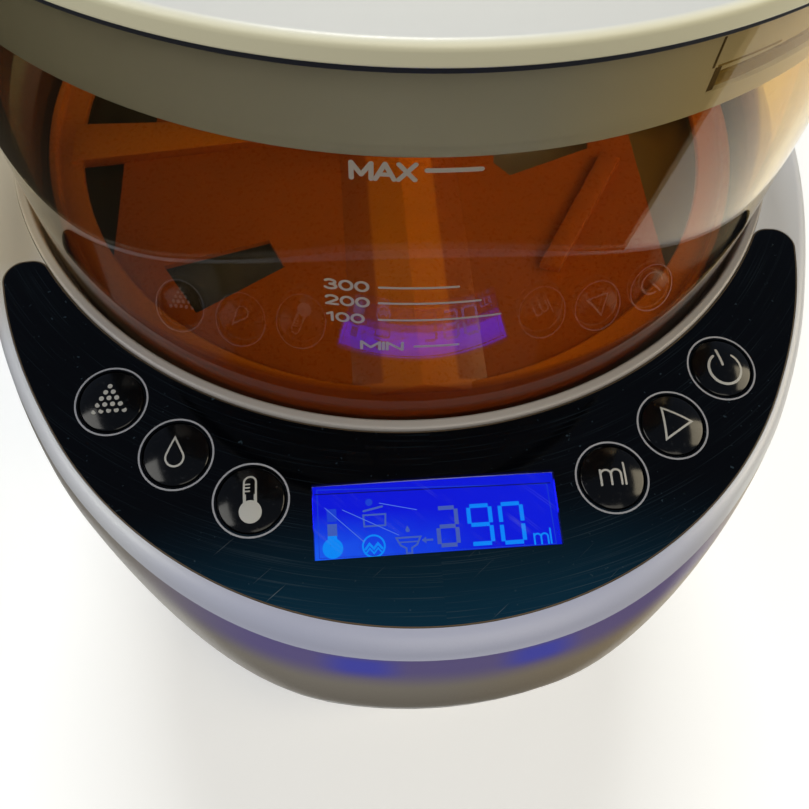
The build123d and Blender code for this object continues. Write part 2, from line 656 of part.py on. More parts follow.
# ---------------------------------------------------------------- bottle stand
def bottle_stand():
    plan = Pos(0, -68) * RectangleRounded(108, 116, 36)
    body = prism(plan, BASE_TOP_Z + GAP, 26)
    body = fillet(body.faces().sort_by(Axis.Z)[-1].edges(), 1.5)
    body -= disc(40, 22.5, 30, 0, FUNNEL_Y)
    for x in (-30, 30):
        body += block(x - 2.5, x + 2.5, -14, -3.4, 22, 32)
        body += block(x - 5, x + 5, -5.0, -3.4, 23, 31)
    return body


def drip_grid():
    body = disc(39.6, 22.5, 25.4, 0, FUNNEL_Y)
    for i in range(-5, 6):
        half = sqrt(35.0 ** 2 - (i * 6.0) ** 2)
        body -= block(i * 6.0 - 1.2, i * 6.0 + 1.2, FUNNEL_Y - half, FUNNEL_Y + half, 20, 30)
    return body


# ---------------------------------------------------------------- water tank
def tank_plan(inset):
    """Plan of the tank: a flat front and the base's own rounded corners at the back."""
    front, back = TANK_FRONT_Y + inset, BACK_Y - 3 - inset
    plan = Pos(0, (front + back) / 2) * Rectangle(2 * (BASE_R - 3 - inset), back - front)
    plan = fillet(plan.vertices().sort_by(Axis.Y)[:2], 4.2 - inset)
    return fillet(plan.vertices().sort_by(Axis.Y)[-2:], BASE_CORNER_R - 3 - inset)


def water_tank():
    body = prism(tank_plan(0), TANK_BOTTOM_Z, TANK_TOP_Z)
    body = fillet(body.faces().sort_by(Axis.Z)[0].edges(), 3.0)
    body -= prism(tank_plan(2.2), TANK_BOTTOM_Z + 3, TANK_TOP_Z + 1)
    body += disc(11, 54, TANK_BOTTOM_Z + 1, 0, TANK_PORT_Y)
    body -= disc(6, 50, TANK_BOTTOM_Z + 5, 0, TANK_PORT_Y)
    body += disc(3, TANK_BOTTOM_Z + 2, 98, 50, TANK_PORT_Y)
    for x in (-EAR_X, EAR_X):
        body += block(x - 3, x + 3, HINGE_Y - 3, HINGE_Y + 2.8, TANK_TOP_Z - 6, HINGE_Z + 2.5)
        body -= Pos(x, HINGE_Y, HINGE_Z) * Rot(0, 90, 0) * Cylinder(1.5, 10)
    return body


def tank_lid():
    """Flap over the tank, hinged on two stub pins at the back, with a finger lip in front."""
    z = TANK_TOP_Z + GAP
    body = prism(tank_plan(0), z, z + 8)
    body = fillet(body.faces().sort_by(Axis.Z)[-1].edges(), 3.0)
    body -= prism(tank_plan(2.4), z - 1, z + 5.4)
    body += block(-20, 20, TANK_FRONT_Y - 7, TANK_FRONT_Y + 2, z + 3.5, z + 6.5)
    body -= block(-200, 200, HINGE_Y - 5, BACK_Y, z - 5, HINGE_Z - 2.2)
    for side in (-1, 1):
        ear, lug = side * EAR_X, side * (EAR_X - 6.75)
        body -= block(ear - 3.5, ear + 3.5, HINGE_Y - 6, BACK_Y, z - 5, z + 20)
        body += block(lug - 3.25, lug + 3.25, HINGE_Y - 4, HINGE_Y + 2.5, HINGE_Z - 2.2, z + 6)
        body -= Pos(lug, HINGE_Y, HINGE_Z) * Rot(0, 90, 0) * Cylinder(1.55, 7)
    return body


def lid_hinge_pins():
    pin = Rot(0, 90, 0) * Cylinder(1.5, 12)
    return [Pos(side * (EAR_X - 3), HINGE_Y, HINGE_Z) * pin for side in (-1, 1)]


def tank_valve():
    z = TANK_BOTTOM_Z + 3 + GAP
    body = disc(2.5, 57.3, z, 0, TANK_PORT_Y) + disc(8.2, z, z + 2, 0, TANK_PORT_Y)
    return body + disc(2.0, z + 2, z + 12, 0, TANK_PORT_Y)


def valve_cage():
    """Bridge over the valve that guides its stem and backs its spring."""
    z = TANK_BOTTOM_Z + 3
    body = ring(12, 2.4, z + 9, z + 11, 0, TANK_PORT_Y)
    for i in range(3):
        a = radians(90 + 120 * i)
        body += disc(1.4, z, z + 10, 10.1 * cos(a), TANK_PORT_Y + 10.1 * sin(a))
    return body


def valve_spring():
    z = TANK_BOTTOM_Z + 3 + GAP + 2.0
    coil = Helix(pitch=1.55, height=5.2, radius=4.6)
    wire = Plane(origin=coil @ 0, z_dir=coil % 0) * Circle(0.35)
    return Pos(0, TANK_PORT_Y, z + 0.5) * sweep(wire, path=coil, is_frenet=True)


def tank_float():
    return ring(9, 3.5, TANK_BOTTOM_Z + 3.5, TANK_BOTTOM_Z + 16, 50, TANK_PORT_Y)


def tank_dock():
    """Socket in the ledge that takes the tank's spout, with the pin that lifts its valve."""
    body = disc(16, 48, DECK_Z, 0, TANK_PORT_Y) + disc(20, DECK_Z, DECK_Z + 1.5, 0, TANK_PORT_Y)
    body -= disc(12.6, 51, DECK_Z + 2, 0, TANK_PORT_Y)
    body += disc(1.8, 50, 56.8, 0, TANK_PORT_Y)
    body += disc(HOSE_R, 42, 48, 8, TANK_PORT_Y)
    return body - disc(HOSE_BORE_R, 40, 52, 8, TANK_PORT_Y)


def dock_seal():
    return ring(12.6, 11.3, 52, 57, 0, TANK_PORT_Y)


# ---------------------------------------------------------------- water path and power
PUMP_X, PUMP_Y = 44.0, 84.0
HEATER_X, HEATER_Y = -52.0, 62.0


def pump_housing():
    body = ring(19, 16.5, 44, 58, PUMP_X, PUMP_Y) + disc(19, 41, 44, PUMP_X, PUMP_Y)
    body += ring(19, 1.6, 58, 61, PUMP_X, PUMP_Y)
    body += block(PUMP_X - 4.5, PUMP_X + 4.5, PUMP_Y + 15, PUMP_Y + 22, 46, 55)
    body += disc(HOSE_R, 34, 41, PUMP_X, PUMP_Y)
    inlet = Pos(PUMP_X, PUMP_Y + 24, 50.5) * Rot(90, 0, 0) * Cylinder(HOSE_R, 8)
    body += inlet
    return body - Pos(PUMP_X, PUMP_Y + 22, 50.5) * Rot(90, 0, 0) * Cylinder(HOSE_BORE_R, 14)


def pump_motor():
    body = disc(15, 61, 92, PUMP_X, PUMP_Y)
    return body - disc(1.55, 60, 72, PUMP_X, PUMP_Y)


def pump_impeller():
    body = disc(14.5, 46, 48, PUMP_X, PUMP_Y) + disc(4, 48, 56, PUMP_X, PUMP_Y)
    for i in range(6):
        blade = Rot(0, 0, 60 * i) * block(3, 14, -0.8, 0.8, 48, 54)
        body += Pos(PUMP_X, PUMP_Y, 0) * blade
    return body + disc(1.5, 56, 71, PUMP_X, PUMP_Y)


def water_heater():
    x, y = HEATER_X, HEATER_Y
    body = disc(24, 78, 170, x, y) + disc(27, 118, 122, x, y)
    body += disc(HOSE_R, 170, 178, x, y) + disc(HOSE_R, 70, 78, x, y)
    return body + block(x - 5, x + 5, y + 22, y + 30, 84, 96)


def heater_sensor():
    x, y = HEATER_X, HEATER_Y
    return Pos(x + 24, y, 150) * Rot(0, 90, 0) * (Cylinder(4, 3, align=LOW)
                                                  + Cylinder(1.5, 9, align=LOW))


def tank_hose():
    return hose([(8, TANK_PORT_Y, 42), (8, TANK_PORT_Y, 33), (18, 141, 26), (33, 133, 27),
                 (42, 124, 38), (PUMP_X, 119, 50.5), (PUMP_X, PUMP_Y + 28, 50.5)])


def heater_hose():
    return hose([(PUMP_X, PUMP_Y, 34), (PUMP_X, PUMP_Y, 27), (34, 81, 23.5), (10, 74, 24),
                 (-20, 66, 28), (-44, 62.5, 40), (HEATER_X, HEATER_Y, 56),
                 (HEATER_X, HEATER_Y, 70)])


def outlet_hose():
    return hose([(HEATER_X, HEATER_Y, 178), (HEATER_X, HEATER_Y, 200), (-55, 48, 214),
                 (-58, 20, 218), (-58, -20, 217), (-54, -52, 218), (-42, -70, 220),
                 (NOZZLE_X, OUTLET_Y, 218), (NOZZLE_X, OUTLET_Y, 209)])


def power_board():
    """Mains board on the column's right wall, with its transformer and capacitors."""
    body = block(84, 85.6, 12, 96, 84, 180)
    body += block(62, 84, 20, 48, 96, 126) + block(74, 84, 60, 84, 96, 112)
    for z in (134, 150, 166):
        body += Pos(84, 34, z) * Rot(0, -90, 0) * Cylinder(6, 16, align=LOW)
    body += block(76, 84, 56, 90, 140, 170)
    return body


# ---------------------------------------------------------------- write every piece
def export_pieces():
    os.makedirs("parts", exist_ok=True)
    pieces = {
        "base_shell": base_shell(), "bottom_plate": bottom_plate(),
        "rubber_feet": rubber_feet(), "base_screws": base_screws(),
        "column_shell": column_shell(), "power_inlet": power_inlet(),
        "head_base": head_base(), "head_cover": head_cover(), "head_screws": head_screws(),
        "container_well": container_well(),
        "panel_overlay": panel_overlay(), "lcd_window": lcd_window(),
        "lcd_module": lcd_module(), "control_board": control_board(),
        "key_switches": key_switches(), "board_screws": board_screws(),
        "powder_tub": powder_tub(), "hub_seal": hub_seal(), "tub_lid": tub_lid(),
        "lid_skirt": lid_skirt(), "lid_seal": lid_seal(), "stirring_wheel": stirring_wheel(),
        "gear_tray": gear_tray(), "drive_axle": drive_axle(), "drive_gear": drive_gear(),
        "motor_pinion": motor_pinion(), "drive_motor": drive_motor(),
        "powder_chute": powder_chute(), "chute_seal": chute_seal(),
        "water_nozzle": water_nozzle(), "funnel_rails": funnel_rails(),
        "funnel_bowl": funnel_bowl(), "funnel_cover": funnel_cover(),
        "funnel_switch": funnel_switch(), "bottle_stand": bottle_stand(),
        "drip_grid": drip_grid(), "water_tank": water_tank(), "tank_lid": tank_lid(),
        "lid_hinge_pins": lid_hinge_pins(), "tank_valve": tank_valve(),
        "valve_cage": valve_cage(), "valve_spring": valve_spring(),
        "tank_float": tank_float(), "tank_dock": tank_dock(), "dock_seal": dock_seal(),
        "pump_housing": pump_housing(), "pump_motor": pump_motor(),
        "pump_impeller": pump_impeller(), "water_heater": water_heater(),
        "heater_sensor": heater_sensor(), "tank_hose": tank_hose(),
        "heater_hose": heater_hose(), "outlet_hose": outlet_hose(),
        "power_board": power_board(),
    }
    names = ("powder", "water", "heat", "volume", "start", "power")
    for name, frame in zip(names, button_frames()):
        pieces["button_" + name] = button_cap(frame)
    for name, piece in pieces.items():
        shape = Compound(children=list(piece)) if isinstance(piece, list) else piece
        export_step(shape, "parts/" + name + ".step")
        print(name, "done")


export_pieces()
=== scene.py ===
from math import atan2, cos, degrees, pi, radians, sin, sqrt, tan

import bmesh
import bpy
from mathutils import Matrix, Vector


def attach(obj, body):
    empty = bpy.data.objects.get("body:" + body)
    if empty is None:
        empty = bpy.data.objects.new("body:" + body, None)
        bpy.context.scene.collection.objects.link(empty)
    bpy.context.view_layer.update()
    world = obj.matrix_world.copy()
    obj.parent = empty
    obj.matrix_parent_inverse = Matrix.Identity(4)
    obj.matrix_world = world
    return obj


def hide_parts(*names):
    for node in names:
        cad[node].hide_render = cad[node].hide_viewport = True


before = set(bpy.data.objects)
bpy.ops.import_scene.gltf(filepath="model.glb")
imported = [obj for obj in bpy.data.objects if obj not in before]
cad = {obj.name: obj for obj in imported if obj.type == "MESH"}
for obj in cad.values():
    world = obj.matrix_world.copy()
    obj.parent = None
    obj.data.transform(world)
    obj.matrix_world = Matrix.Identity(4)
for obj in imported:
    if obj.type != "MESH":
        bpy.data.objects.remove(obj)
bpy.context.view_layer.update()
scene = bpy.context.scene

# ---------------------------------------------------------------- viewpoint and studio
# The camera looks steeply down on the control panel from in front, turned a little to the right
# and tilted.  A pale floor, a dim even sky and soft lamps above, in front and beside it.
MM = 0.001                    # sizes below are in millimetres until a mesh is made
EYE = Vector((-17.9, -197.5, 426.8))
EYE_YAW, EYE_DOWN, EYE_ROLL = radians(8.14), radians(61.89), radians(3.96)
EYE_LENS = 37.78              # on a 36 mm wide sensor

ahead = Vector((sin(EYE_YAW) * cos(EYE_DOWN), cos(EYE_YAW) * cos(EYE_DOWN), -sin(EYE_DOWN)))
level = ahead.cross(Vector((0, 0, 1))).normalized()
over = level.cross(ahead)
across = level * cos(EYE_ROLL) + over * sin(EYE_ROLL)
upwards = over * cos(EYE_ROLL) - level * sin(EYE_ROLL)
camera = bpy.data.objects.new("camera", bpy.data.cameras.new("camera"))
camera.data.sensor_width = 36
camera.data.lens = EYE_LENS
camera.data.clip_start = 0.01
turned_view = Matrix((across, upwards, -ahead)).transposed().to_4x4()
camera.matrix_world = Matrix.Translation(EYE * MM) @ turned_view
scene.collection.objects.link(camera)
scene.camera = camera
scene.view_settings.view_transform = "Standard"


def fill(tree, node, inputs):
    """Sets or links a node's inputs."""
    for name, value in inputs.items():
        if isinstance(value, bpy.types.NodeSocket):
            tree.links.new(value, node.inputs[name])
        else:
            node.inputs[name].default_value = value


def add(tree, kind, inputs=None, **settings):
    """Adds a node to a tree, with its own settings and the values or links of its inputs."""
    made = tree.nodes.new(kind)
    for name, value in settings.items():
        setattr(made, name, value)
    fill(tree, made, inputs or {})
    return made


def maths(tree, operation, *values, clamp=False):
    return add(tree, "ShaderNodeMath", dict(enumerate(values)), operation=operation,
               use_clamp=clamp).outputs[0]


def times(tree, first, second):
    return maths(tree, "MULTIPLY", first, second)


def ranged(tree, value, low, high, to=(0.0, 1.0), smooth=False):
    """A value carried from low and high to another range."""
    limits = {"Value": value, "From Min": low, "From Max": high, "To Min": to[0], "To Max": to[1]}
    return add(tree, "ShaderNodeMapRange", limits,
               interpolation_type="SMOOTHSTEP" if smooth else "LINEAR").outputs[0]


def tinted(tree, mask, under, colour):
    """The colour under, turned into another one where the mask is 1."""
    return add(tree, "ShaderNodeMix", {0: mask, 6: under, 7: (*colour, 1)},
               data_type="RGBA").outputs[2]


def new_material(name, constants=None):
    """A material holding one Principled shader; returns the material, its tree and the shader."""
    material = bpy.data.materials.new(name)
    material.use_nodes = True
    tree = material.node_tree
    tree.nodes.clear()
    shader = add(tree, "ShaderNodeBsdfPrincipled", constants)
    add(tree, "ShaderNodeOutputMaterial", {"Surface": shader.outputs[0]})
    return material, tree, shader


def show_to(tree, rays, usual, other):
    """Shows a mask's rays another shader than the usual one."""
    mixed = add(tree, "ShaderNodeMixShader", {0: rays, 1: usual.outputs[0], 2: other.outputs[0]})
    tree.links.new(mixed.outputs[0], tree.nodes["Material Output"].inputs["Surface"])


def surround(tree, above, below):
    """Even light from above the horizon, and a dim room below it."""
    way = add(tree, "ShaderNodeTexCoord").outputs["Generated"]
    rise = ranged(tree, add(tree, "ShaderNodeSeparateXYZ", {0: way}).outputs["Z"], -0.05, 0.05)
    sky = add(tree, "ShaderNodeBackground", {"Color": tinted(tree, rise, (*below, 1), above)})
    add(tree, "ShaderNodeOutputWorld", {"Surface": sky.outputs[0]})


studio = bpy.data.worlds.new("studio")
scene.world = studio
studio.use_nodes = True
studio.node_tree.nodes.clear()
surround(studio.node_tree, (0.10, 0.12, 0.16), (0.035, 0.028, 0.02))


def lamp(name, place, target, size, watts, tint):
    """A square soft lamp, places in metres."""
    light = bpy.data.lights.new(name, "AREA")
    light.shape = "SQUARE"
    light.size = size
    light.energy = watts
    light.color = tint
    holder = bpy.data.objects.new(name, light)
    holder.location = place
    aim = Vector(target) - Vector(place)
    holder.rotation_euler = aim.to_track_quat("-Z", "Y").to_euler()
    scene.collection.objects.link(holder)


HEAD_MIDDLE = (0, -0.05, 0.25)
lamp("ceiling_lamp", (0.0, 0.48, 1.65), HEAD_MIDDLE, 0.35, 12.0, (0.98, 1.0, 0.98))
lamp("front_lamp", (0.26, -1.10, 0.90), HEAD_MIDDLE, 0.9, 4.6, (1.0, 0.93, 0.76))
lamp("right_lamp", (1.17, -0.05, 0.77), HEAD_MIDDLE, 0.7, 7.0, (1.0, 0.87, 0.62))
lamp("left_lamp", (-1.00, -0.30, 0.90), HEAD_MIDDLE, 0.7, 5.2, (1.0, 0.98, 0.92))

floor_mesh = bpy.data.meshes.new("floor")
floor_corners = [(-0.24, -0.20), (0.62, -0.20), (0.62, 0.7), (-0.24, 0.7)]
floor_mesh.from_pydata([(x, y, -0.0002) for x, y in floor_corners], [], [(0, 1, 2, 3)])
floor = bpy.data.objects.new("floor", floor_mesh)
scene.collection.objects.link(floor)
floor_paint, floor_tree, floor_shader = new_material("floor_paint", {
    "Roughness": 0.9, "Base Color": (0.9, 0.9, 0.9, 1), "Specular IOR Level": 0.1})
floor_rays = add(floor_tree, "ShaderNodeLightPath").outputs
floor_seen = maths(floor_tree, "ADD", floor_rays["Is Camera Ray"], floor_rays["Is Glossy Ray"])
floor_seen = maths(floor_tree, "ADD", floor_seen, floor_rays["Is Transmission Ray"], clamp=True)
floor_bare = add(floor_tree, "ShaderNodeEmission", {"Strength": 0.22})
floor_lit = add(floor_tree, "ShaderNodeAddShader", {0: floor_shader.outputs[0],
                                                    1: floor_bare.outputs[0]})
show_to(floor_tree, floor_seen, floor_shader, floor_lit)
floor_mesh.materials.append(floor_paint)


# ---------------------------------------------------------------- base and column
# Injection moulded white casings: a low base, and the upright behind the bottle bay with the
# ledge for the tank.  Rubber feet and screws hold the bottom plate and carry the machine.
def new_group(name, inputs, outputs):
    """A shader node group with named inputs (name, kind, value) and outputs (name, kind)."""
    group = bpy.data.node_groups.new(name, "ShaderNodeTree")
    for socket, kind, value in inputs:
        made = group.interface.new_socket(socket, in_out="INPUT", socket_type=kind)
        made.default_value = value
    for socket, kind in outputs:
        group.interface.new_socket(socket, in_out="OUTPUT", socket_type=kind)
    return group, add(group, "NodeGroupInput"), add(group, "NodeGroupOutput")


def noise(tree, place, scale, detail, roughness=0.5):
    return add(tree, "ShaderNodeTexNoise", {"Vector": place, "Scale": scale, "Detail": detail,
                                            "Roughness": roughness}).outputs[0]


def position(tree):
    """The object's own coordinates: the vector, then x, y and z."""
    place = add(tree, "ShaderNodeTexCoord").outputs["Object"]
    return (place, *add(tree, "ShaderNodeSeparateXYZ", {0: place}).outputs)


def moulded_skin():
    """Slow drift of tone and fine mould grain, for every moulding."""
    group, given, made = new_group(
        "moulded_skin",
        [("Colour", "NodeSocketColor", (0.6, 0.6, 0.6, 1)), ("Drift", "NodeSocketFloat", 0.05),
         ("Grain scale", "NodeSocketFloat", 2500.0), ("Roughness", "NodeSocketFloat", 0.35)],
        [("Colour", "NodeSocketColor"), ("Roughness", "NodeSocketFloat"),
         ("Height", "NodeSocketFloat")])
    place = position(group)[0]
    grain = noise(group, place, given.outputs["Grain scale"], 2.0)
    drift = maths(group, "SUBTRACT", noise(group, place, 14.0, 3.0), 0.5)
    tone = maths(group, "ADD", times(group, drift, given.outputs["Drift"]), 1.0)
    shaded = add(group, "ShaderNodeVectorMath", {0: given.outputs["Colour"], "Scale": tone},
                 operation="SCALE")
    rough = maths(group, "ADD", ranged(group, grain, 0.3, 0.7, (-0.05, 0.05)),
                  given.outputs["Roughness"], clamp=True)
    fill(group, made, {"Colour": shaded.outputs[0], "Roughness": rough, "Height": grain})
    return group


MOULDED_SKIN = moulded_skin()


def skinned(tree, shader, tone, roughness, drift, grain, depth, strength=0.6):
    """Gives a shader the moulded skin, its grain's depth in millimetres; returns the colour."""
    skin = add(tree, "ShaderNodeGroup", {"Colour": (*tone, 1), "Drift": drift,
                                         "Grain scale": grain, "Roughness": roughness},
               node_tree=MOULDED_SKIN).outputs
    bump = add(tree, "ShaderNodeBump", {"Height": skin["Height"], "Distance": depth * MM,
                                        "Strength": strength})
    fill(tree, shader, {"Base Color": skin["Colour"], "Roughness": skin["Roughness"],
                        "Normal": bump.outputs[0]})
    return skin["Colour"]


def moulding(name, colour, roughness, drift=0.06, grain=2500.0, depth=0.02, metallic=0.0):
    """A moulded or cast finish; depth is the grain's depth in millimetres."""
    material, tree, shader = new_material(name, {"Metallic": metallic})
    skinned(tree, shader, colour, roughness, drift, grain, depth)
    return material


def paint(material, *names):
    """Gives CAD nodes their finish."""
    for name in names:
        mesh = cad[name].data
        mesh.materials.clear()
        mesh.materials.append(material)


CASING_TONE = (0.60, 0.60, 0.60)
casing_white = moulding("casing_white", CASING_TONE, 0.38, depth=0.015)
base_white = moulding("base_white", (0.58, 0.58, 0.585), 0.42, depth=0.02)
paint(casing_white, "column_shell")
paint(base_white, "base_shell")
paint(moulding("plate_grey", (0.25, 0.26, 0.27), 0.55, grain=1400, depth=0.05), "bottom_plate")
paint(moulding("foot_rubber", (0.02, 0.02, 0.02), 0.85, grain=900, depth=0.06), "rubber_feet")
paint(moulding("inlet_black", (0.02, 0.02, 0.021), 0.5), "power_inlet")
screw_steel = moulding("screw_steel", (0.55, 0.55, 0.56), 0.3, grain=4000, metallic=1.0)
paint(screw_steel, "base_screws", "head_screws", "board_screws")


# ---------------------------------------------------------------- head casings
# The head's upper shell: a wall that leans in as it rises, a bright rolled rim above a fine
# seam, and a deck that slopes down to the front round the collar of the container's well.
TUB_Y = -10.0                 # the powder container's axis
LIP_Z = 257.0                 # top of the collar
WELL_R = 104.0
FRONT_CENTRE_Y = -60.2        # centre of the head's front arc
HEAD_FRONT_R = 108.3
HEAD_HALF = 114.5
FLANK_R, FLANK_Y = 392.0, -1.2
FLARE = radians(12)
CORNER_X, CORNER_Y, CORNER_R = 84.5, 86.0, 30.0
BACK_Y = CORNER_Y + CORNER_R
SPLIT_Z = 224.0               # widest contour, the joint with the lower shell
SEAM_Z, SEAM_INSET = 247.0, 5.9
WALL_BEND = 47.8              # radius of the wall's upright curve
DECK_EDGE_INSET, DECK_EDGE_Z = 11.3, 251.33
PANEL_TILT = radians(6.1)
PANEL_DROP = 1.07


def deck_z(radius):
    """Height of the sloping deck at a distance from the container's axis."""
    return LIP_Z - PANEL_DROP - tan(PANEL_TILT) * (radius - WELL_R)


def reach_to_circle(turn, x, y, r):
    """Distance from the container's axis, along a direction, to the far side of a circle."""
    start = Vector((-x, TUB_Y - y))
    along = start.dot(Vector((sin(turn), -cos(turn))))
    return sqrt(along * along - start.length_squared + r * r) - along


def head_reach(turn, inset):
    """Distance from the container's axis to the head's outline, drawn in by an inset."""
    turn = min(turn % (2 * pi), 2 * pi - turn % (2 * pi))
    r = HEAD_FRONT_R - inset
    half = HEAD_HALF - inset
    ends = [(r * cos(FLARE), FRONT_CENTRE_Y - r * sin(FLARE)), (half, FLANK_Y),
            (half, CORNER_Y), (CORNER_X, BACK_Y - inset)]
    arc_end, flank_end, side_end, corner_end = [atan2(x, TUB_Y - y) for x, y in ends]
    if turn <= arc_end:
        return reach_to_circle(turn, 0, FRONT_CENTRE_Y, r)
    if turn <= flank_end:
        return reach_to_circle(turn, HEAD_HALF - FLANK_R, FLANK_Y, FLANK_R - inset)
    if turn <= side_end:
        return half / sin(turn)
    if turn <= corner_end:
        return reach_to_circle(turn, CORNER_X, CORNER_Y, CORNER_R - inset)
    return (BACK_Y - inset - TUB_Y) / -cos(turn)


def ease(value, low, high):
    """0 before low, 1 after high, and a smooth change between; low may be the larger."""
    t = min(max((value - low) / (high - low), 0), 1)
    return t * t * (3 - 2 * t)


# The upper shell is drawn in at its two front corners, most where it meets the lower shell, and
# its rim and deck are let out along the flanks.  Angles are off the front, in degrees, about the
# centre of the front arc.
CORNER_DRAW, CORNER_SEAM_DRAW, CORNER_BEND_DRAW = 8.0, 2.5, 0.9
FLANK_OUT, FLANK_SEAM_OUT = 7.0, 5.4


def corner_share(angle):
    return ease(angle, 14, 52) * ease(angle, 112, 60)


def flank_share(angle):
    return ease(angle, 60, 112) * ease(angle, 160, 130)


def off_front(turn):
    """The outline's angle off the front at a turn about the container's axis."""
    reach = head_reach(turn, 8)
    return degrees(atan2(abs(reach * sin(turn)), reach * cos(turn) + FRONT_CENTRE_Y - TUB_Y))


def shell_reach(turn, inset, draw=0.0, out=0.0):
    """Reach of the shell, drawn in at the front corners and let out along the flanks."""
    angle = off_front(turn)
    return head_reach(turn, inset + draw * corner_share(angle) - out * flank_share(angle))


def merged_form(mesh):
    """A bmesh of a mesh, its doubles merged."""
    form = bmesh.new()
    form.from_mesh(mesh)
    bmesh.ops.remove_doubles(form, verts=form.verts, dist=0.002 * MM)
    return form


def new_shape(name, points, faces):
    """A mesh object from points in millimetres, its doubles merged and its faces outward."""
    mesh = bpy.data.meshes.new(name)
    mesh.from_pydata([Vector(point) * MM for point in points], [], faces)
    form = merged_form(mesh)
    bmesh.ops.recalc_face_normals(form, faces=form.faces)
    form.to_mesh(mesh)
    form.free()
    shape = bpy.data.objects.new(name, mesh)
    scene.collection.objects.link(shape)
    return shape


def ring_faces(rows, count, closed=True):
    """Quads between rows of points, each row a closed loop; closed also joins last to first."""
    steps = rows if closed else rows - 1
    return [(i * count + j, i * count + (j + 1) % count,
             (i + 1) % rows * count + (j + 1) % count, (i + 1) % rows * count + j)
            for i in range(steps) for j in range(count)]


def bar_faces(rows):
    """Faces of a bar through rows of four corners, closed at both ends."""
    last = 4 * rows
    return ring_faces(rows, 4, closed=False) + [(0, 1, 2, 3),
                                                (last - 1, last - 2, last - 3, last - 4)]


def wrap(name, section, steps=360):
    """A closed shell round the container's axis; section(turn) lists (radius, z) points."""
    points = []
    for i in range(steps):
        turn = 2 * pi * i / steps
        points += [(r * sin(turn), TUB_Y - r * cos(turn), z) for r, z in section(turn)]
    return new_shape(name, points, ring_faces(steps, len(points) // steps))


def dress(piece, material, body, slot, *nodes, crease=32):
    """Shades a finished piece, gives it its material and body, and hides what it stands for."""
    mesh = piece.data
    mesh.materials.clear()
    mesh.materials.append(material)
    mesh.shade_smooth()
    mesh.set_sharp_from_angle(angle=radians(crease))
    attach(piece, body)
    if nodes:
        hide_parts(*nodes)
    return piece


def bake(piece):
    """Replaces a piece's mesh by its evaluated one and drops its modifiers."""
    graph = bpy.context.evaluated_depsgraph_get()
    mesh = bpy.data.meshes.new_from_object(piece.evaluated_get(graph))
    piece.modifiers.clear()
    piece.data = mesh
    return piece


def cut(piece, *tools, operation="DIFFERENCE"):
    """Cuts tool solids out of a piece, exactly, and removes the tools."""
    for tool in tools:
        step = piece.modifiers.new("cut", "BOOLEAN")
        step.operation = operation
        step.solver = "EXACT"
        step.object = tool
    bake(piece)
    for tool in tools:
        bpy.data.objects.remove(tool)
    return piece


def rim_rise(turn):
    """How much taller than in front the shell stands, because the deck's edge follows a cone."""
    edge = max(shell_reach(turn, DECK_EDGE_INSET, out=FLANK_OUT), WELL_R + 0.3)
    return (deck_z(edge) - SPLIT_Z) / (DECK_EDGE_Z - SPLIT_Z)


def wall_inset(z):
    return WALL_BEND - sqrt(WALL_BEND ** 2 - (z - SPLIT_Z) ** 2)


def wall_section(turn):
    """The wall below the seam, 2.5 mm thick."""
    rise = rim_rise(turn)
    outer, inner = [], []
    for i in range(15):
        t = i / 14
        z = SPLIT_Z + 0.15 + (SEAM_Z - 0.3 - SPLIT_Z) * t
        draw = CORNER_DRAW * (1 - t) + CORNER_SEAM_DRAW * t
        for line, thick in ((outer, 0), (inner, 2.5)):
            reach = shell_reach(turn, wall_inset(z) + thick, draw, FLANK_SEAM_OUT * t)
            line.append((reach, SPLIT_Z + (z - SPLIT_Z) * rise))
    return outer + inner[::-1]


RIM_LIP = 0.3                 # the rim stands this much proud of the wall at the seam
DECK_THICK = 3.7


def rim_section(turn):
    """The rolled rim and the deck as one moulding."""
    rise = rim_rise(turn)

    def place(inset, z, draw, out):
        reach = max(shell_reach(turn, inset, draw, out), WELL_R + 0.15)
        return reach, SPLIT_Z + (z - SPLIT_Z) * rise

    seam = (CORNER_SEAM_DRAW, FLANK_SEAM_OUT)
    line = [place(SEAM_INSET + inset, SEAM_Z + z, *seam)
            for inset, z in ((1.2, 0.02), (0.2 - RIM_LIP, 0.02), (0.05 - RIM_LIP, 0.25))]
    start = (SEAM_INSET, SEAM_Z, *seam)
    bend = (8.088, 250.986, CORNER_BEND_DRAW, FLANK_OUT)
    end = (DECK_EDGE_INSET, DECK_EDGE_Z, 0.0, FLANK_OUT + 0.3)
    for i in range(1, 13):
        t = i / 12
        inset, z, draw, out = [(1 - t) ** 2 * a + 2 * t * (1 - t) * b + t * t * c
                               for a, b, c in zip(start, bend, end)]
        line.append(place(inset - RIM_LIP * (1 - t) ** 3, z, draw, out))
    edge, low = line[-1][0], WELL_R + 0.15
    line += [(r, deck_z(r)) for r in [edge + (low - edge) * t for t in (0.03, 0.3, 0.6, 1)]]
    inner_edge = place(13.8, 0, 0, FLANK_OUT)[0]
    line += [(r, deck_z(r) - DECK_THICK) for r in (low, inner_edge)]
    return line + [place(SEAM_INSET + 2.7, SEAM_Z + 0.02, *seam)]


def new_piece(name, form):
    """A new object from a bmesh, which is freed."""
    mesh = bpy.data.meshes.new(name)
    form.to_mesh(mesh)
    form.free()
    piece = bpy.data.objects.new(name, mesh)
    scene.collection.objects.link(piece)
    return piece


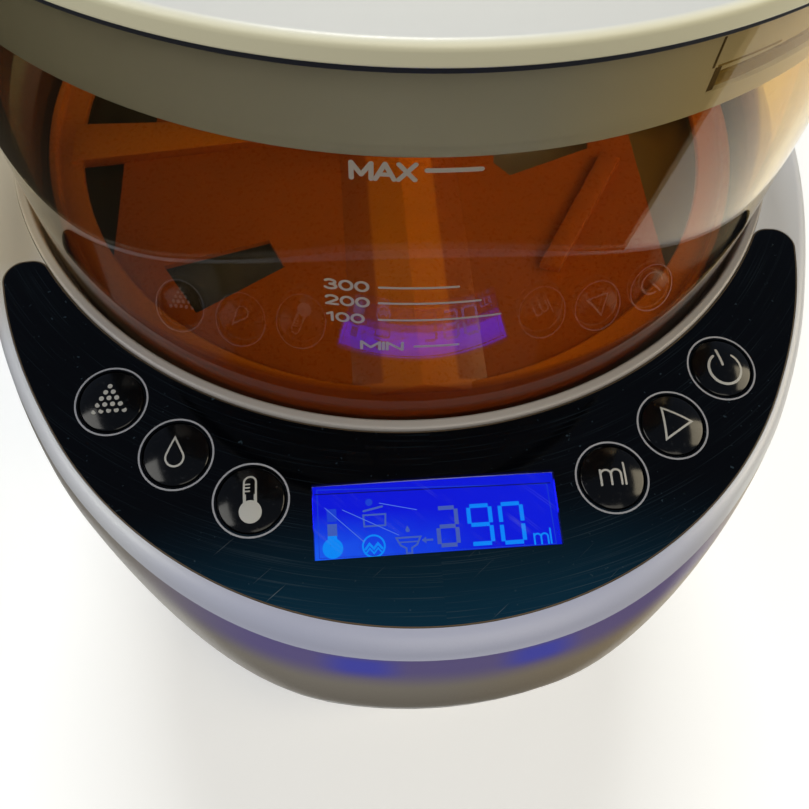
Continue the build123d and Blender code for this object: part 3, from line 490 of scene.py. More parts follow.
def lower_shell():
    """A merged copy of the lower shell, its wall drawn in at the front corners as the upper's."""
    form = merged_form(cad["head_base"].data)
    for vert in form.verts:
        x, y = vert.co.x / MM, vert.co.y / MM - TUB_Y
        turn, radius = atan2(x, -y), sqrt(x * x + y * y)
        widest = head_reach(turn, 0)
        share = ease(widest - radius, 24, 16)
        radius -= share * (widest - shell_reach(turn, 0, CORNER_DRAW))
        vert.co.x, vert.co.y = radius * sin(turn) * MM, (TUB_Y - radius * cos(turn)) * MM
    return new_piece("head_lower", form)


dress(lower_shell(), casing_white, "machine", "casing_white", "head_base")


def between(tree, value, low, low_full, high_full, high):
    """A mask that rises from low to low_full and falls again from high_full to high."""
    return times(tree, ranged(tree, value, low, low_full, smooth=True),
                 ranged(tree, value, high, high_full, smooth=True))


def shell_finish(name, tone, front_shade=None, right_warm_light=None, left_warm_light=None, rear_unshaded_tone=None,
                 glow=0.0):
    """White shell plastic, with painted shade in front, painted warm light at the sides, and its
    unshaded tone at the back.

    Glow paints the display's blue light along the seam in front as a violet band, brightest in two
    places, which also emit faintly.
    """
    material, tree, shader = new_material(name)
    colour = skinned(tree, shader, tone, 0.34, 0.05, 1800.0, 0.03)
    _, x, y, z = position(tree)
    front = ranged(tree, y, -0.125, -0.145, smooth=True)
    # Painted warm light: a warm tint towards the right.
    if right_warm_light:
        colour = tinted(tree, ranged(tree, x, 0.0, 0.06), colour, right_warm_light)
    # The unshaded tone at the back, where the darkened wall's painted shade ends.
    if rear_unshaded_tone:
        colour = tinted(tree, ranged(tree, y, -0.085, -0.03), colour, rear_unshaded_tone)
    # Painted warm light: a cream tint on the left flank.
    if left_warm_light:
        left = times(tree, ranged(tree, x, -0.070, -0.095), ranged(tree, y, -0.085, -0.060))
        colour = tinted(tree, left, colour, left_warm_light)
    # Painted shade across the front.
    if front_shade:
        middle = between(tree, x, -0.10, -0.03, 0.03, 0.10)
        colour = tinted(tree, times(tree, middle, front), colour, front_shade)
    # Painted glow: the display's light as violet colour on the seam, its two spots emitting a little
    # though they are no lamp.
    if glow:
        band = times(tree, between(tree, x, -0.075, -0.035, 0.045, 0.095), front)
        band = times(tree, band, ranged(tree, z, 0.2365, 0.2440, smooth=True))
        band = times(tree, band, glow)
        colour = tinted(tree, band, colour, (0.17, 0.14, 0.40))
        spots = [between(tree, x, middle - 0.011, middle - 0.002, middle + 0.002, middle + 0.011)
                 for middle in (-0.0183, 0.0197)]
        both = times(tree, times(tree, maths(tree, "ADD", *spots), band),
                     between(tree, z, 0.2395, 0.2435, 0.2455, 0.2475))
        colour = tinted(tree, both, colour, (0.09, 0.10, 0.46))
        fill(tree, shader, {"Emission Color": (0.02, 0.04, 0.9, 1),
                            "Emission Strength": times(tree, both, 0.12)})
    tree.links.new(colour, shader.inputs["Base Color"])
    return material


# Painted shade: the wall's tone is much darker than the casing's white.
SHADED_WALL_TONE = (0.36, 0.33, 0.29)
# Painted light: the rim's tone is brighter and bluer than the casing's white.
RIM_LIT_TONE = (0.76, 0.78, 0.83)
head_wall = wrap("head_wall", wall_section)
# The wall: painted warm light to the right, its unshaded tone at the back, and the painted glow at the
# seam.
dress(head_wall, shell_finish("wall_plastic", SHADED_WALL_TONE, right_warm_light=(0.42, 0.33, 0.21),
                              rear_unshaded_tone=(0.58, 0.57, 0.55), glow=0.9),
      "machine", "casing_white", "head_cover")
head_rim = wrap("head_rim", rim_section)


# ---------------------------------------------------------------- container well
# A deep moulded cup set into the head.  Its top edge is the collar round the container, and its
# floor has the hole for the drive and the way down for the powder.
CHUTE_W, CHUTE_D, OUTLET_Y = 36.0, 28.0, -75.0


def soften(corners, steps=5):
    """A closed outline from (x, y, radius) corners, each rounded by an arc of its radius.

    A point just beyond each end of an arc keeps the shading of the flats beside it flat.
    """
    outline = []
    for i, corner in enumerate(corners):
        here = Vector(corner[:2])
        radius = corner[2] if len(corner) > 2 else 0
        if not radius:
            outline.append(tuple(here))
            continue
        back = (Vector(corners[i - 1][:2]) - here).normalized()
        on = (Vector(corners[(i + 1) % len(corners)][:2]) - here).normalized()
        half = back.angle(on) / 2
        reach = radius / tan(half)
        middle = here + (back + on).normalized() * (radius / sin(half))
        first = here + back * reach - middle
        last = here + on * reach - middle
        a = atan2(first.y, first.x)
        sweep = (atan2(last.y, last.x) - a + pi) % (2 * pi) - pi
        outline.append(tuple(here + back * (reach + 0.1 * radius)))
        outline += [(middle.x + radius * cos(a + sweep * k / steps),
                     middle.y + radius * sin(a + sweep * k / steps)) for k in range(steps + 1)]
        outline.append(tuple(here + on * (reach + 0.1 * radius)))
    return outline


ON_AXIS = Matrix.Translation((0, TUB_Y, 0))


def turned(name, profile, steps, where=ON_AXIS):
    """A solid turned from (radius, z) points about an axis that a matrix places."""
    points = []
    for i in range(steps):
        a = 2 * pi * i / steps
        points += [where @ Vector((r * sin(a), -r * cos(a), z)) for r, z in profile]
    return new_shape(name, points, ring_faces(steps, len(profile)))


def on_matrix(matrix):
    """A layout, place(u, v, h), in a matrix's own frame."""
    return lambda u, v, h: matrix @ Vector((u, v, h))


def slab(outline, place, height, sink):
    """A filled flat shape, as a thin closed solid."""
    count = len(outline)
    points = [place(x, y, h) for h in (-sink, height) for x, y in outline]
    faces = ring_faces(2, count, closed=False)
    return points, faces + [tuple(range(count))[::-1], tuple(range(count, 2 * count))]


def prism(name, outline, z0, z1, where=Matrix.Identity(4)):
    """An upright prism on a plan outline."""
    return new_shape(name, *slab(outline, on_matrix(where), z1, -z0))


def oblong(x0, x1, y0, y1, radius=0.0):
    """Plan corners of a rectangle."""
    return soften([(x0, y0, radius), (x1, y0, radius), (x1, y1, radius), (x0, y1, radius)])


well_floor = LIP_Z - 15.0
well = turned("container_well_cup", soften([
    (WELL_R, well_floor - 2.5), (WELL_R, LIP_Z, 0.7), (101.5, LIP_Z, 0.7), (101.5, well_floor, 2),
    (94, well_floor), (94, well_floor + 1), (90, well_floor + 1), (90, well_floor),
    (13.5, well_floor), (13.5, well_floor - 2.5)]), 360)
cut(well, prism("tool", oblong(-CHUTE_W / 2, CHUTE_W / 2, OUTLET_Y - CHUTE_D / 2,
                               OUTLET_Y + CHUTE_D / 2), well_floor - 5, well_floor + 5))
# The well: its tone darkened below white as painted shade, darker in front as the lid's painted shadow,
# cream on the left as painted warm light.
dress(well, shell_finish("well_plastic", (0.42, 0.39, 0.37), front_shade=(0.30, 0.25, 0.28),
                         left_warm_light=(0.66, 0.56, 0.40)),
      "machine", "casing_white", "container_well")


# ---------------------------------------------------------------- control panel
# A crescent of glossy black acrylic, 1.2 mm thick, laid in a pocket of the deck.  Its cut edge
# shows brown, and its face has fine scratches from wiping round the container.
PANEL_R, PANEL_INNER_R = 96.8, 104.2
PANEL_THICK = 1.2
TIP_Y, TIP_R = -66.1, 5.0     # the centres and the radius of the two corners at each tip
TIP_OUT = FLANK_OUT * flank_share(86.5)
TIP_OUTER = (sqrt((PANEL_R + TIP_OUT - TIP_R) ** 2 - (TIP_Y - FRONT_CENTRE_Y) ** 2), TIP_Y)
TIP_INNER = (sqrt((PANEL_INNER_R + TIP_R) ** 2 - (TIP_Y - TUB_Y) ** 2), TIP_Y)
TIP_TOP = ((TIP_OUTER[0] + TIP_INNER[0]) / 2, TIP_Y + TIP_R)


def bow(x, y, r, start, end, steps):
    """Points of an arc, angles in radians from +X."""
    angles = [start + (end - start) * i / steps for i in range(steps + 1)]
    return [(x + r * cos(a), y + r * sin(a)) for a in angles]


def crescent_edges(offset, steps=300):
    """The crescent's outer and inner edges, point for point, from the right tip to the left."""
    tip = (TIP_TOP[0], TIP_TOP[1] + offset)
    edges = []
    for corner, centre_y, r, outward in ((TIP_OUTER, FRONT_CENTRE_Y, PANEL_R + offset, 1),
                                         (TIP_INNER, TUB_Y, PANEL_INNER_R - offset, -1)):
        lean = atan2(corner[1] - centre_y, corner[0])
        end = lean if outward > 0 else lean + pi
        tip_arc = bow(*corner, TIP_R + offset, pi / 2, end, 10)
        main = []
        for i in range(1, steps):
            a = lean - (pi + 2 * lean) * i / steps
            reach = r + (FLANK_OUT * flank_share(degrees(abs(a + pi / 2))) if outward > 0 else 0)
            main.append((reach * cos(a), centre_y + reach * sin(a)))
        other = [(-x, y) for x, y in reversed(tip_arc)]
        edges.append([tip] + tip_arc + main + other + [(-tip[0], tip[1])])
    return edges


def crescent_slab(name, layers, columns=10):
    """A closed slab in the crescent's plan through (offset, height above the deck) layers."""
    points, faces = [], []
    for offset, height in layers:
        outer, inner = crescent_edges(offset)
        for near, far in zip(outer, inner):
            for k in range(columns + 1):
                x, y = [a + (b - a) * k / columns for a, b in zip(near, far)]
                points.append((x, y, deck_z(Vector((x, y - TUB_Y)).length) + height))
    rows, width = len(outer), columns + 1
    layer = rows * width
    last = (len(layers) - 1) * layer
    for i in range(rows - 1):
        for k in range(columns):
            a = i * width + k
            faces += [(a, a + 1, a + width + 1, a + width),
                      (last + a, last + a + width, last + a + width + 1, last + a + 1)]
        for n in range(len(layers) - 1):
            for a in (n * layer + i * width, n * layer + i * width + columns):
                faces.append((a, a + layer, a + layer + width, a + width))
    return new_shape(name, points, faces)


BUTTON_SPOTS = ((116.0, 38.0), (119.6, 28.1), (123.9, 18.8))   # radius, degrees off the front
BUTTON_R, BUTTON_HOLE_R = 7.3, 7.6
BUTTON_NAMES = ("powder", "water", "heat", "volume", "start", "power")


def button_place(radius, angle):
    """Matrix from a button's own frame, z along the panel's normal, to the machine."""
    a = radians(angle)
    normal = Vector((sin(PANEL_TILT) * sin(a), -sin(PANEL_TILT) * cos(a), cos(PANEL_TILT)))
    right = Vector((1, 0, 0)) - normal * normal.x
    right.normalize()
    spot = Vector((radius * sin(a), TUB_Y - radius * cos(a), deck_z(radius)))
    return Matrix.Translation(spot) @ Matrix((right, normal.cross(right), normal)).transposed().to_4x4()


BUTTON_PLACES = [button_place(r, -a) for r, a in BUTTON_SPOTS]
BUTTON_PLACES += [button_place(r, a) for r, a in reversed(BUTTON_SPOTS)]
LCD_W, LCD_D, LCD_Y = 53.5, 16.6, -133.2


def panel_tools():
    """Solids that make the button holes and the display's opening."""
    hole = [(0, -12), (BUTTON_HOLE_R, -12), (BUTTON_HOLE_R, 6), (0, 6)]
    tools = [turned("tool", hole, 96, place) for place in BUTTON_PLACES]
    opening = oblong(-LCD_W / 2, LCD_W / 2, LCD_Y - LCD_D / 2, LCD_Y + LCD_D / 2)
    return tools + [prism("tool", opening, LIP_Z - 30, LIP_Z + 5)]


cut(head_rim, crescent_slab("tool", [(0.1, -1.3), (0.1, 5.0)]), *panel_tools())
# The rim: painted shade in front, bluish from the display's light, and painted warm light on the left.
dress(head_rim, shell_finish("rim_plastic", RIM_LIT_TONE, front_shade=(0.46, 0.48, 0.62),
                             left_warm_light=(0.62, 0.54, 0.40)), "machine",
      "casing_white", "head_cover")


def about_axis(tree, place):
    """A place's offset from the container's axis in plan, and its distance from the axis."""
    flat = add(tree, "ShaderNodeVectorMath", {0: place, 1: (0, TUB_Y * MM, 0)},
               operation="SUBTRACT")
    flat = add(tree, "ShaderNodeVectorMath", {0: flat.outputs[0], 1: (1, 1, 0)},
               operation="MULTIPLY")
    length = add(tree, "ShaderNodeVectorMath", {0: flat.outputs[0]}, operation="LENGTH")
    return flat.outputs[0], length.outputs["Value"]


def wiped_lines():
    """Fine scratches that run round the container, as a mask from 0 to 1."""
    group, given, made = new_group("wiped_lines", [("Finest mm", "NodeSocketFloat", 0.25)],
                                   [("Lines", "NodeSocketFloat")])
    flat, radius = about_axis(group, position(group)[0])
    apart = add(group, "ShaderNodeSeparateXYZ", {0: flat}).outputs
    turn = maths(group, "ARCTAN2", apart["X"], apart["Y"])
    radial = times(group, radius, maths(group, "DIVIDE", 1000.0, given.outputs["Finest mm"]))
    polar = add(group, "ShaderNodeCombineXYZ", {0: radial, 1: times(group, turn, 3.0)})
    lines = noise(group, polar.outputs[0], 1.0, 3.0, 0.6)
    group.links.new(ranged(group, lines, 0.56, 0.72), made.inputs["Lines"])
    return group


WIPED_LINES = wiped_lines()


def slanting(tree, place, angle, size, low, high, to):
    """Straight scratches at an angle, as noise of a size in metres across and along them."""
    laid = add(tree, "ShaderNodeMapping", {"Vector": place, "Rotation": (0, 0, radians(angle)),
                                           "Scale": (*size, 1)}, vector_type="TEXTURE")
    return ranged(tree, noise(tree, laid.outputs[0], 1.0, 1.0), low, high, to)


def panel_finish():
    """Black acrylic with fine scratches and specks; a painted bluish sheen towards the front edge
    stands in for a reflected light and brightens the scratches there.
    """
    material, tree, shader = new_material("panel_black", {"Specular IOR Level": 0.22})
    lines = add(tree, "ShaderNodeGroup", node_tree=WIPED_LINES).outputs[0]
    place, x, y, _ = position(tree)
    specks = ranged(tree, noise(tree, place, 900.0, 1.0), 0.74, 0.80, (0.0, 0.5))
    # Painted reflection: a bluish sheen low in front, in the base colour.
    painted_sheen = times(tree, ranged(tree, y, -0.126, -0.156, smooth=True),
                  between(tree, x, -0.10, -0.03, 0.02, 0.09))
    tone = tinted(tree, painted_sheen, (0.0008, 0.001, 0.0018, 1), (0.003, 0.026, 0.052))
    # Real scratches, painted brighter where the sheen lies.
    scratches_and_sheen = times(tree, lines, maths(tree, "MULTIPLY_ADD", painted_sheen, 0.5, 0.16))
    marks_and_sheen = maths(tree, "ADD", scratches_and_sheen, specks, clamp=True)
    tone = tinted(tree, marks_and_sheen, tone, (0.045, 0.075, 0.10))
    # Stray scratches, shown pale only in the painted sheen, as if catching its light.
    stray = slanting(tree, place, -52, (0.0005, 0.018), 0.76, 0.83, (0.0, 0.5))
    tone = tinted(tree, times(tree, stray, painted_sheen), tone, (0.28, 0.33, 0.38))
    bump = add(tree, "ShaderNodeBump", {"Height": lines, "Distance": 0.003 * MM, "Strength": 0.4})
    fill(tree, shader, {"Base Color": tone, "Roughness": ranged(tree, lines, 0, 1, (0.06, 0.2)),
                        "Normal": bump.outputs[0]})
    return material


PANEL_BLACK = panel_finish()
panel = crescent_slab("panel_sheet", [(-0.05, -PANEL_THICK), (-0.05, -0.35), (-0.25, 0.0)])
cut(panel, *panel_tools())
dress(panel, PANEL_BLACK, "machine", "panel_black", "panel_overlay", crease=20)
panel_rim = crescent_slab("panel_edge", [(-0.06, -0.5), (0.0, -0.4), (0.0, -0.12), (-0.24, 0.03),
                                         (-0.3, 0.0)], columns=1)
cut(panel_rim, crescent_slab("tool", [(-0.27, -2.0), (-0.27, 2.0)]))
dress(panel_rim, moulding("edge_brown", (0.10, 0.065, 0.03), 0.5, drift=1.2, grain=1600),
      "machine", "panel_black", crease=60)


# ---------------------------------------------------------------- display
# A blue backlit glass behind a flush clear window: a seven segment readout of the water volume,
# small icons for temperature, tank, water and funnel, and segments that are not lit.
DISPLAY_DROP = 1.3
DISPLAY_PLACE = (Matrix.Translation((0, LCD_Y, deck_z(TUB_Y - LCD_Y) - DISPLAY_DROP))
                 @ Matrix.Rotation(PANEL_TILT, 4, "X"))


def ribbon(path, width, place, closed=False, height=0.05, sink=0.05, tips=True):
    """A flat raised stroke along a path, as a thin closed solid laid out by place(u, v, h)."""
    path = [Vector(point) for point in path]
    count = len(path)
    half = width / 2
    stations = []
    for i, here in enumerate(path):
        before = path[i - 1] if closed or i else None
        after = path[(i + 1) % count] if closed or i < count - 1 else None
        ways = [(b - a).normalized() for a, b in ((before, here), (here, after))
                if a is not None and b is not None]
        along = sum(ways, Vector((0, 0))).normalized()
        spread = half / max(0.4, along.dot(ways[0]))
        stations.append((here, Vector((-along.y, along.x)) * spread))
    if not closed and tips:
        for end, step in ((0, 1), (-1, -1)):
            here, normal = stations[end]
            out = (path[end] - path[end + step]).normalized() * half
            cap = [(here + out * sin(a), normal * cos(a))
                   for a in (radians(30), radians(60), radians(90))]
            stations = cap[::-1] + stations if step > 0 else stations + cap
    points = []
    for here, normal in stations:
        left, right = here + normal, here - normal
        points += [place(left.x, left.y, height), place(right.x, right.y, height),
                   place(right.x, right.y, -sink), place(left.x, left.y, -sink)]
    return points, ring_faces(len(stations), 4) if closed else bar_faces(len(stations))


def merged(name, parts):
    """One mesh object from (points, faces) parts."""
    points, faces = [], []
    for part_points, part_faces in parts:
        faces += [tuple(len(points) + i for i in face) for face in part_faces]
        points += part_points
    return new_shape(name, points, faces)


def loop_of(x, y, r, steps=40):
    return bow(x, y, r, 0, 2 * pi, steps)[:-1]


def lit_film(tree, shader, base, light, seen, strength):
    """Lights a shader up, and shows glossy rays another colour and strength."""
    fill(tree, shader, {"Base Color": (*base, 1), "Specular IOR Level": 0.0,
                        "Emission Color": light, "Emission Strength": 1.0})
    bright = add(tree, "ShaderNodeEmission", {"Color": seen, "Strength": strength})
    show_to(tree, add(tree, "ShaderNodeLightPath").outputs["Is Glossy Ray"], shader, bright)


def glow(name, colour, reflected=1.0):
    """A lit film; reflected is its strength as other glossy surfaces see it."""
    material, tree, shader = new_material(name)
    cloud = noise(tree, position(tree)[0], 60.0, 2.0)
    light = tinted(tree, cloud, (*colour, 1), [c * 0.85 for c in colour])
    lit_film(tree, shader, (0.002, 0.002, 0.006), light, light, reflected)
    return material


def backlight_finish():
    """The backlight's blue: paler low on the left, with faint cloud."""
    material, tree, shader = new_material("display_backlight")
    place, x, y, _ = position(tree)
    haze = times(tree, ranged(tree, x, 0.012, -0.024), ranged(tree, y, -0.131, -0.141))
    haze = times(tree, haze, noise(tree, place, 120.0, 3.0))
    blue = tinted(tree, haze, (0.0006, 0.004, 0.66, 1), (0.012, 0.17, 0.95))
    blue = tinted(tree, ranged(tree, x, 0.0, 0.027, (0.0, 0.35)), blue, (0.0, 0.012, 0.72))
    strip = between(tree, y, -0.1345, -0.1335, -0.1270, -0.1262)
    strip = maths(tree, "MULTIPLY_ADD", strip, 7.0, 0.3)
    lit_film(tree, shader, (0.002, 0.003, 0.02), blue, (0.004, 0.006, 0.62, 1), strip)
    return material


display_glass = prism("display_glass", oblong(-LCD_W / 2 + 0.15, LCD_W / 2 - 0.15,
                                              -LCD_D / 2 + 0.15, LCD_D / 2 - 0.15),
                      -2.6, 0.0, DISPLAY_PLACE)
dress(display_glass, backlight_finish(), "machine", "display_blue")
paint(moulding("display_frame", (0.05, 0.05, 0.06), 0.5), "lcd_module")


lcd_mm = on_matrix(DISPLAY_PLACE)


def at(u, v):
    """Fractions of the window, u from the left and v from the top, in millimetres on the glass."""
    return ((u - 0.5) * LCD_W, (0.5 - v) * LCD_D)


def stroke(path, width, height=0.035, closed=False, tips=True):
    return ribbon(path, width, lcd_mm, closed, height, 0.0, tips)


def patch(outline, height=0.035):
    return slab(outline, lcd_mm, height, 0.0)


def show(name, parts, finish, slot="display_blue"):
    """Dresses one film of the display."""
    return dress(merged(name, parts), finish, "machine", slot, crease=60)


SEGMENT_WIDTH, SEGMENT_GAP = 0.9, 0.32
SEGMENTS = {"top": ((0, 1), (1, 1)), "middle": ((0, 0.5), (1, 0.5)), "bottom": ((0, 0), (1, 0)),
            "upper_left": ((0, 0.5), (0, 1)), "upper_right": ((1, 0.5), (1, 1)),
            "lower_left": ((0, 0), (0, 0.5)), "lower_right": ((1, 0), (1, 0.5))}
NINE = ("top", "upper_left", "upper_right", "middle", "lower_right", "bottom")
ZERO = ("top", "upper_left", "upper_right", "lower_left", "lower_right", "bottom")
UNLIT = ("top", "middle", "bottom", "lower_left", "upper_right", "lower_right")


def digit(left, right, top, bottom, names):
    """Bars of a seven segment digit between fractions of the window."""
    bars = []
    for name in names:
        start, end = [Vector(at(left + (right - left) * u, bottom + (top - bottom) * v))
                      for u, v in SEGMENTS[name]]
        gap = (end - start).normalized() * SEGMENT_GAP
        bars.append(stroke([start + gap, end - gap], SEGMENT_WIDTH, 0.04, tips=False))
    return bars


lit = digit(0.632, 0.720, 0.40, 0.905, NINE) + digit(0.762, 0.850, 0.40, 0.915, ZERO)
unlit = digit(0.503, 0.580, 0.40, 0.895, UNLIT)
show("display_digits_lit", lit, glow("segment_lit", (0.0, 0.24, 1.0), 2.0))
show("display_digits_unlit", unlit, glow("segment_unlit", (0.06, 0.11, 0.46)))


def oval(x, y, rx, ry, start, end, steps=14):
    """Points of an elliptic arc, angles in degrees."""
    turns = [radians(start + (end - start) * i / steps) for i in range(steps + 1)]
    return [(x + rx * cos(a), y + ry * sin(a)) for a in turns]


# Each letter: its width, and its strokes, both for a height of 1.
LETTERS = {
    "M": (0.9, [[(0, 0), (0, 1)], [(0, 1), (0.45, 0.25)], [(0.45, 0.25), (0.9, 1)],
                [(0.9, 1), (0.9, 0)]]),
    "A": (0.86, [[(0, 0), (0.43, 1)], [(0.43, 1), (0.86, 0)], [(0.17, 0.32), (0.69, 0.32)]]),
    "X": (0.76, [[(0, 0), (0.76, 1)], [(0, 1), (0.76, 0)]]),
    "I": (0.0, [[(0, 0), (0, 1)]]),
    "N": (0.75, [[(0, 0), (0, 1)], [(0, 1), (0.75, 0)], [(0.75, 0), (0.75, 1)]]),
    "0": (0.6, [oval(0.3, 0.5, 0.3, 0.5, 0, 360, 28)]),
    "1": (0.3, [[(0.0, 0.78), (0.24, 1)], [(0.24, 1), (0.24, 0)]]),
    "2": (0.58, [oval(0.28, 0.71, 0.28, 0.29, 165, -35) + [(0, 0)], [(0, 0), (0.58, 0)]]),
    "3": (0.56, [oval(0.26, 0.755, 0.25, 0.245, 150, -90), oval(0.26, 0.26, 0.29, 0.26, 90, -150)]),
    "m": (0.94, [[(0, 0), (0, 0.7)], oval(0.235, 0.47, 0.235, 0.22, 180, 0) + [(0.47, 0)],
                 oval(0.705, 0.47, 0.235, 0.22, 180, 0) + [(0.94, 0)]]),
    "l": (0.0, [[(0, 0), (0, 1)]])}


def fine(path, closed=False, step=0.5):
    """The same path with points close enough to follow a curved surface."""
    points = [Vector(point) for point in path]
    ends = points[1:] + points[:1] if closed else points[1:]
    result = []
    for a, b in zip(points, ends):
        count = max(1, round((b - a).length / step))
        result += [a + (b - a) * i / count for i in range(count)]
    return result if closed else result + [points[-1]]


def word(text, height, weight, place, stretch=1.0, raised=0.04, sink=0.05, gap=0.19):
    """Lettering of round-ended strokes; height is a capital's, without the stroke's weight."""
    parts, x = [], 0.0
    for letter in text:
        width, strokes = LETTERS[letter]
        for i, line in enumerate(strokes):
            path = fine([((x + u) * height * stretch, v * height) for u, v in line])
            parts.append(ribbon(path, weight, place, height=raised + 0.004 * i, sink=sink))
        x += width + gap
    return parts


def shifted(place, x, y):
    """A layout whose own origin lies at x, y of another."""
    return lambda u, v, h: place(x + u, y + v, h)


unit_x, unit_y = at(0.885, 0.965)
icons_lit = word("ml", 3.2, 0.38, shifted(lcd_mm, unit_x + 0.2, unit_y + 0.1), sink=0.0)
bulb_x, bulb_y = at(0.0745, 0.84)
wave_x, wave_y = at(0.238, 0.845)
zigzag = [(wave_x + 0.9 * i, wave_y + (0.55 if i % 2 else -0.55)) for i in range(-2, 3)]
icons_lit += [patch(loop_of(bulb_x, bulb_y, 2.2), 0.04),
              stroke([(bulb_x, bulb_y), (bulb_x, bulb_y + 2.7)], 2.0, 0.045, tips=False),
              stroke(loop_of(wave_x, wave_y, 2.35), 0.4, 0.04, True),
              stroke(zigzag, 0.5, 0.045),
              stroke([(x, y - 1.0) for x, y in zigzag], 0.35, 0.045)]
show("display_icons_lit", icons_lit, glow("icon_lit", (0.0, 0.26, 1.0), 2.0))


def at_each(*spots):
    """Points in millimetres from the window's fractions."""
    return [at(u, v) for u, v in spots]


def icon_bar(u0, u1, v0, v1):
    return patch(at_each((u0, v1), (u1, v1), (u1, v0), (u0, v0)), 0.03)


drop_x, drop_y = at(0.378, 0.66)
icons_grey = [
    icon_bar(0.056, 0.095, 0.52, 0.69), icon_bar(0.068, 0.083, 0.71, 0.78),
    stroke(at_each((0.33, 0.76), (0.428, 0.76), (0.412, 0.86), (0.39, 0.90), (0.39, 0.97),
                   (0.368, 0.97), (0.368, 0.90), (0.346, 0.86)), 0.4, closed=True),
    stroke(at_each((0.342, 0.82), (0.416, 0.82)), 0.3),
    patch([(drop_x + x, drop_y + y)
           for x, y in ((0, 1.0), (-0.5, 0), (-0.3, -0.5), (0.3, -0.5), (0.5, 0))]),
    stroke(at_each((0.475, 0.81), (0.438, 0.81)), 0.45),
    patch(at_each((0.432, 0.81), (0.45, 0.765), (0.45, 0.855))),
    stroke(at_each((0.205, 0.58), (0.203, 0.43), (0.293, 0.43), (0.29, 0.58)), 0.4, closed=True),
    stroke(at_each((0.205, 0.375), (0.282, 0.325)), 0.45)]
show("display_icons_grey", icons_grey, glow("icon_grey", (0.05, 0.11, 0.50)))
icons_faint = [icon_bar(0.056, 0.095, 0.32, 0.49), patch(loop_of(*at(0.229, 0.26), 0.8), 0.02),
               stroke(at_each((0.02, 0.05), (0.02, 0.96), (0.975, 0.97), (0.97, 0.16)), 0.16,
                      0.02, True)]
show("display_icons_faint", icons_faint, glow("icon_faint", (0.008, 0.05, 0.66)))
# Painted shadow: a dark line across the top of the backlight, for the window frame's shadow.
show("display_top_line", [stroke(at_each((0.01, 0.11), (0.985, 0.15)), 0.22, 0.03)],
     glow("line_painted_shadow", (0.001, 0.002, 0.10)))


def window_finish():
    """Clear window: all but invisible, except for its gloss and the scratches on it."""
    material, tree, shader = new_material("display_window", {"Roughness": 0.1,
                                                             "Base Color": (0.35, 0.42, 0.9, 1)})
    streaks = slanting(tree, position(tree)[0], 48, (0.0004, 0.011), 0.66, 0.78, (0.010, 0.10))
    tree.links.new(streaks, shader.inputs["Alpha"])
    return material


# Scratches on the window, made to glow: painted light of the backlight caught in them.
nicks = [ribbon([at(u0, v0), at(u1, v1)], 0.14, lcd_mm, height=DISPLAY_DROP + 0.01,
                sink=-DISPLAY_DROP + 0.05)
         for u0, v0, u1, v1 in ((0.05, 0.32, 0.20, 0.80), (0.12, 0.36, 0.34, 0.74),
                                (0.27, 0.30, 0.42, 0.42))]
show("display_nicks", nicks, glow("nick_painted_glow", (0.09, 0.20, 0.80), 0.3), "display_lens")
window = prism("display_window_pane", oblong(-LCD_W / 2 + 0.05, LCD_W / 2 - 0.05,
                                             -LCD_D / 2 + 0.05, LCD_D / 2 - 0.05, 0.3),
               0.12, DISPLAY_DROP, DISPLAY_PLACE)
dress(window, window_finish(), "machine", "display_lens", "lcd_window")


# ---------------------------------------------------------------- buttons
# Six domed black caps, each in its own hole with a pale ring printed round it.  Their marks are
# printed on the dome: powder heap, drop, thermometer, ml, start triangle and power sign.
DOME_RISE = 1.5
DOME_R = (BUTTON_R ** 2 + DOME_RISE ** 2) / (2 * DOME_RISE)
MARK_HEIGHT = 0.03


def dome_z(radius):
    return DOME_RISE - DOME_R + sqrt(DOME_R ** 2 - radius ** 2)


def cap_profile():
    """Half section of a button: dome, soft shoulder, skirt, flange and stem."""
    dome = [(7.0 * i / 14, dome_z(7.0 * i / 14)) for i in range(15)]
    shoulder = [(7.2, dome_z(7.0) - 0.12), (BUTTON_R, dome_z(7.0) - 0.35)]
    return dome + shoulder + [(BUTTON_R, -4.0), (8.5, -4.0), (8.5, -5.2), (2.2, -5.2),
                              (2.2, -8.6), (0, -8.6)]


def on_dome(matrix):
    """Layout on a button's dome, in its own right and up directions."""
    def place(u, v, h):
        return matrix @ Vector((u, v, dome_z(min(7.2, sqrt(u * u + v * v))) + h))
    return place


def gloss_black(name):
    material, tree, shader = new_material(name, {"Specular IOR Level": 0.35})
    dust = noise(tree, position(tree)[0], 1100.0, 2.0)
    tone = tinted(tree, ranged(tree, dust, 0.62, 0.8, (0.0, 0.6)), (0.0022, 0.0024, 0.003, 1),
                  (0.02, 0.022, 0.026))
    fill(tree, shader, {"Base Color": tone, "Roughness": ranged(tree, dust, 0, 1, (0.08, 0.22))})
    return material


def drop_outline(width, height):
    """Outline of a falling drop, round below and pointed above."""
    r = width / 2
    tip = height - r
    lean = atan2(r, sqrt(tip * tip - r * r))
    return bow(0, 0, r, lean, -pi - lean, 24) + [(0, tip)]


def heap_dots():
    """Centres of the powder heap's dots, a triangle of five rows."""
    across_step, up_step = 1.72, 1.5
    return [(across_step * (i - row / 2), up_step * (2.2 - row) - 0.1)
            for row in range(5) for i in range(row + 1)]


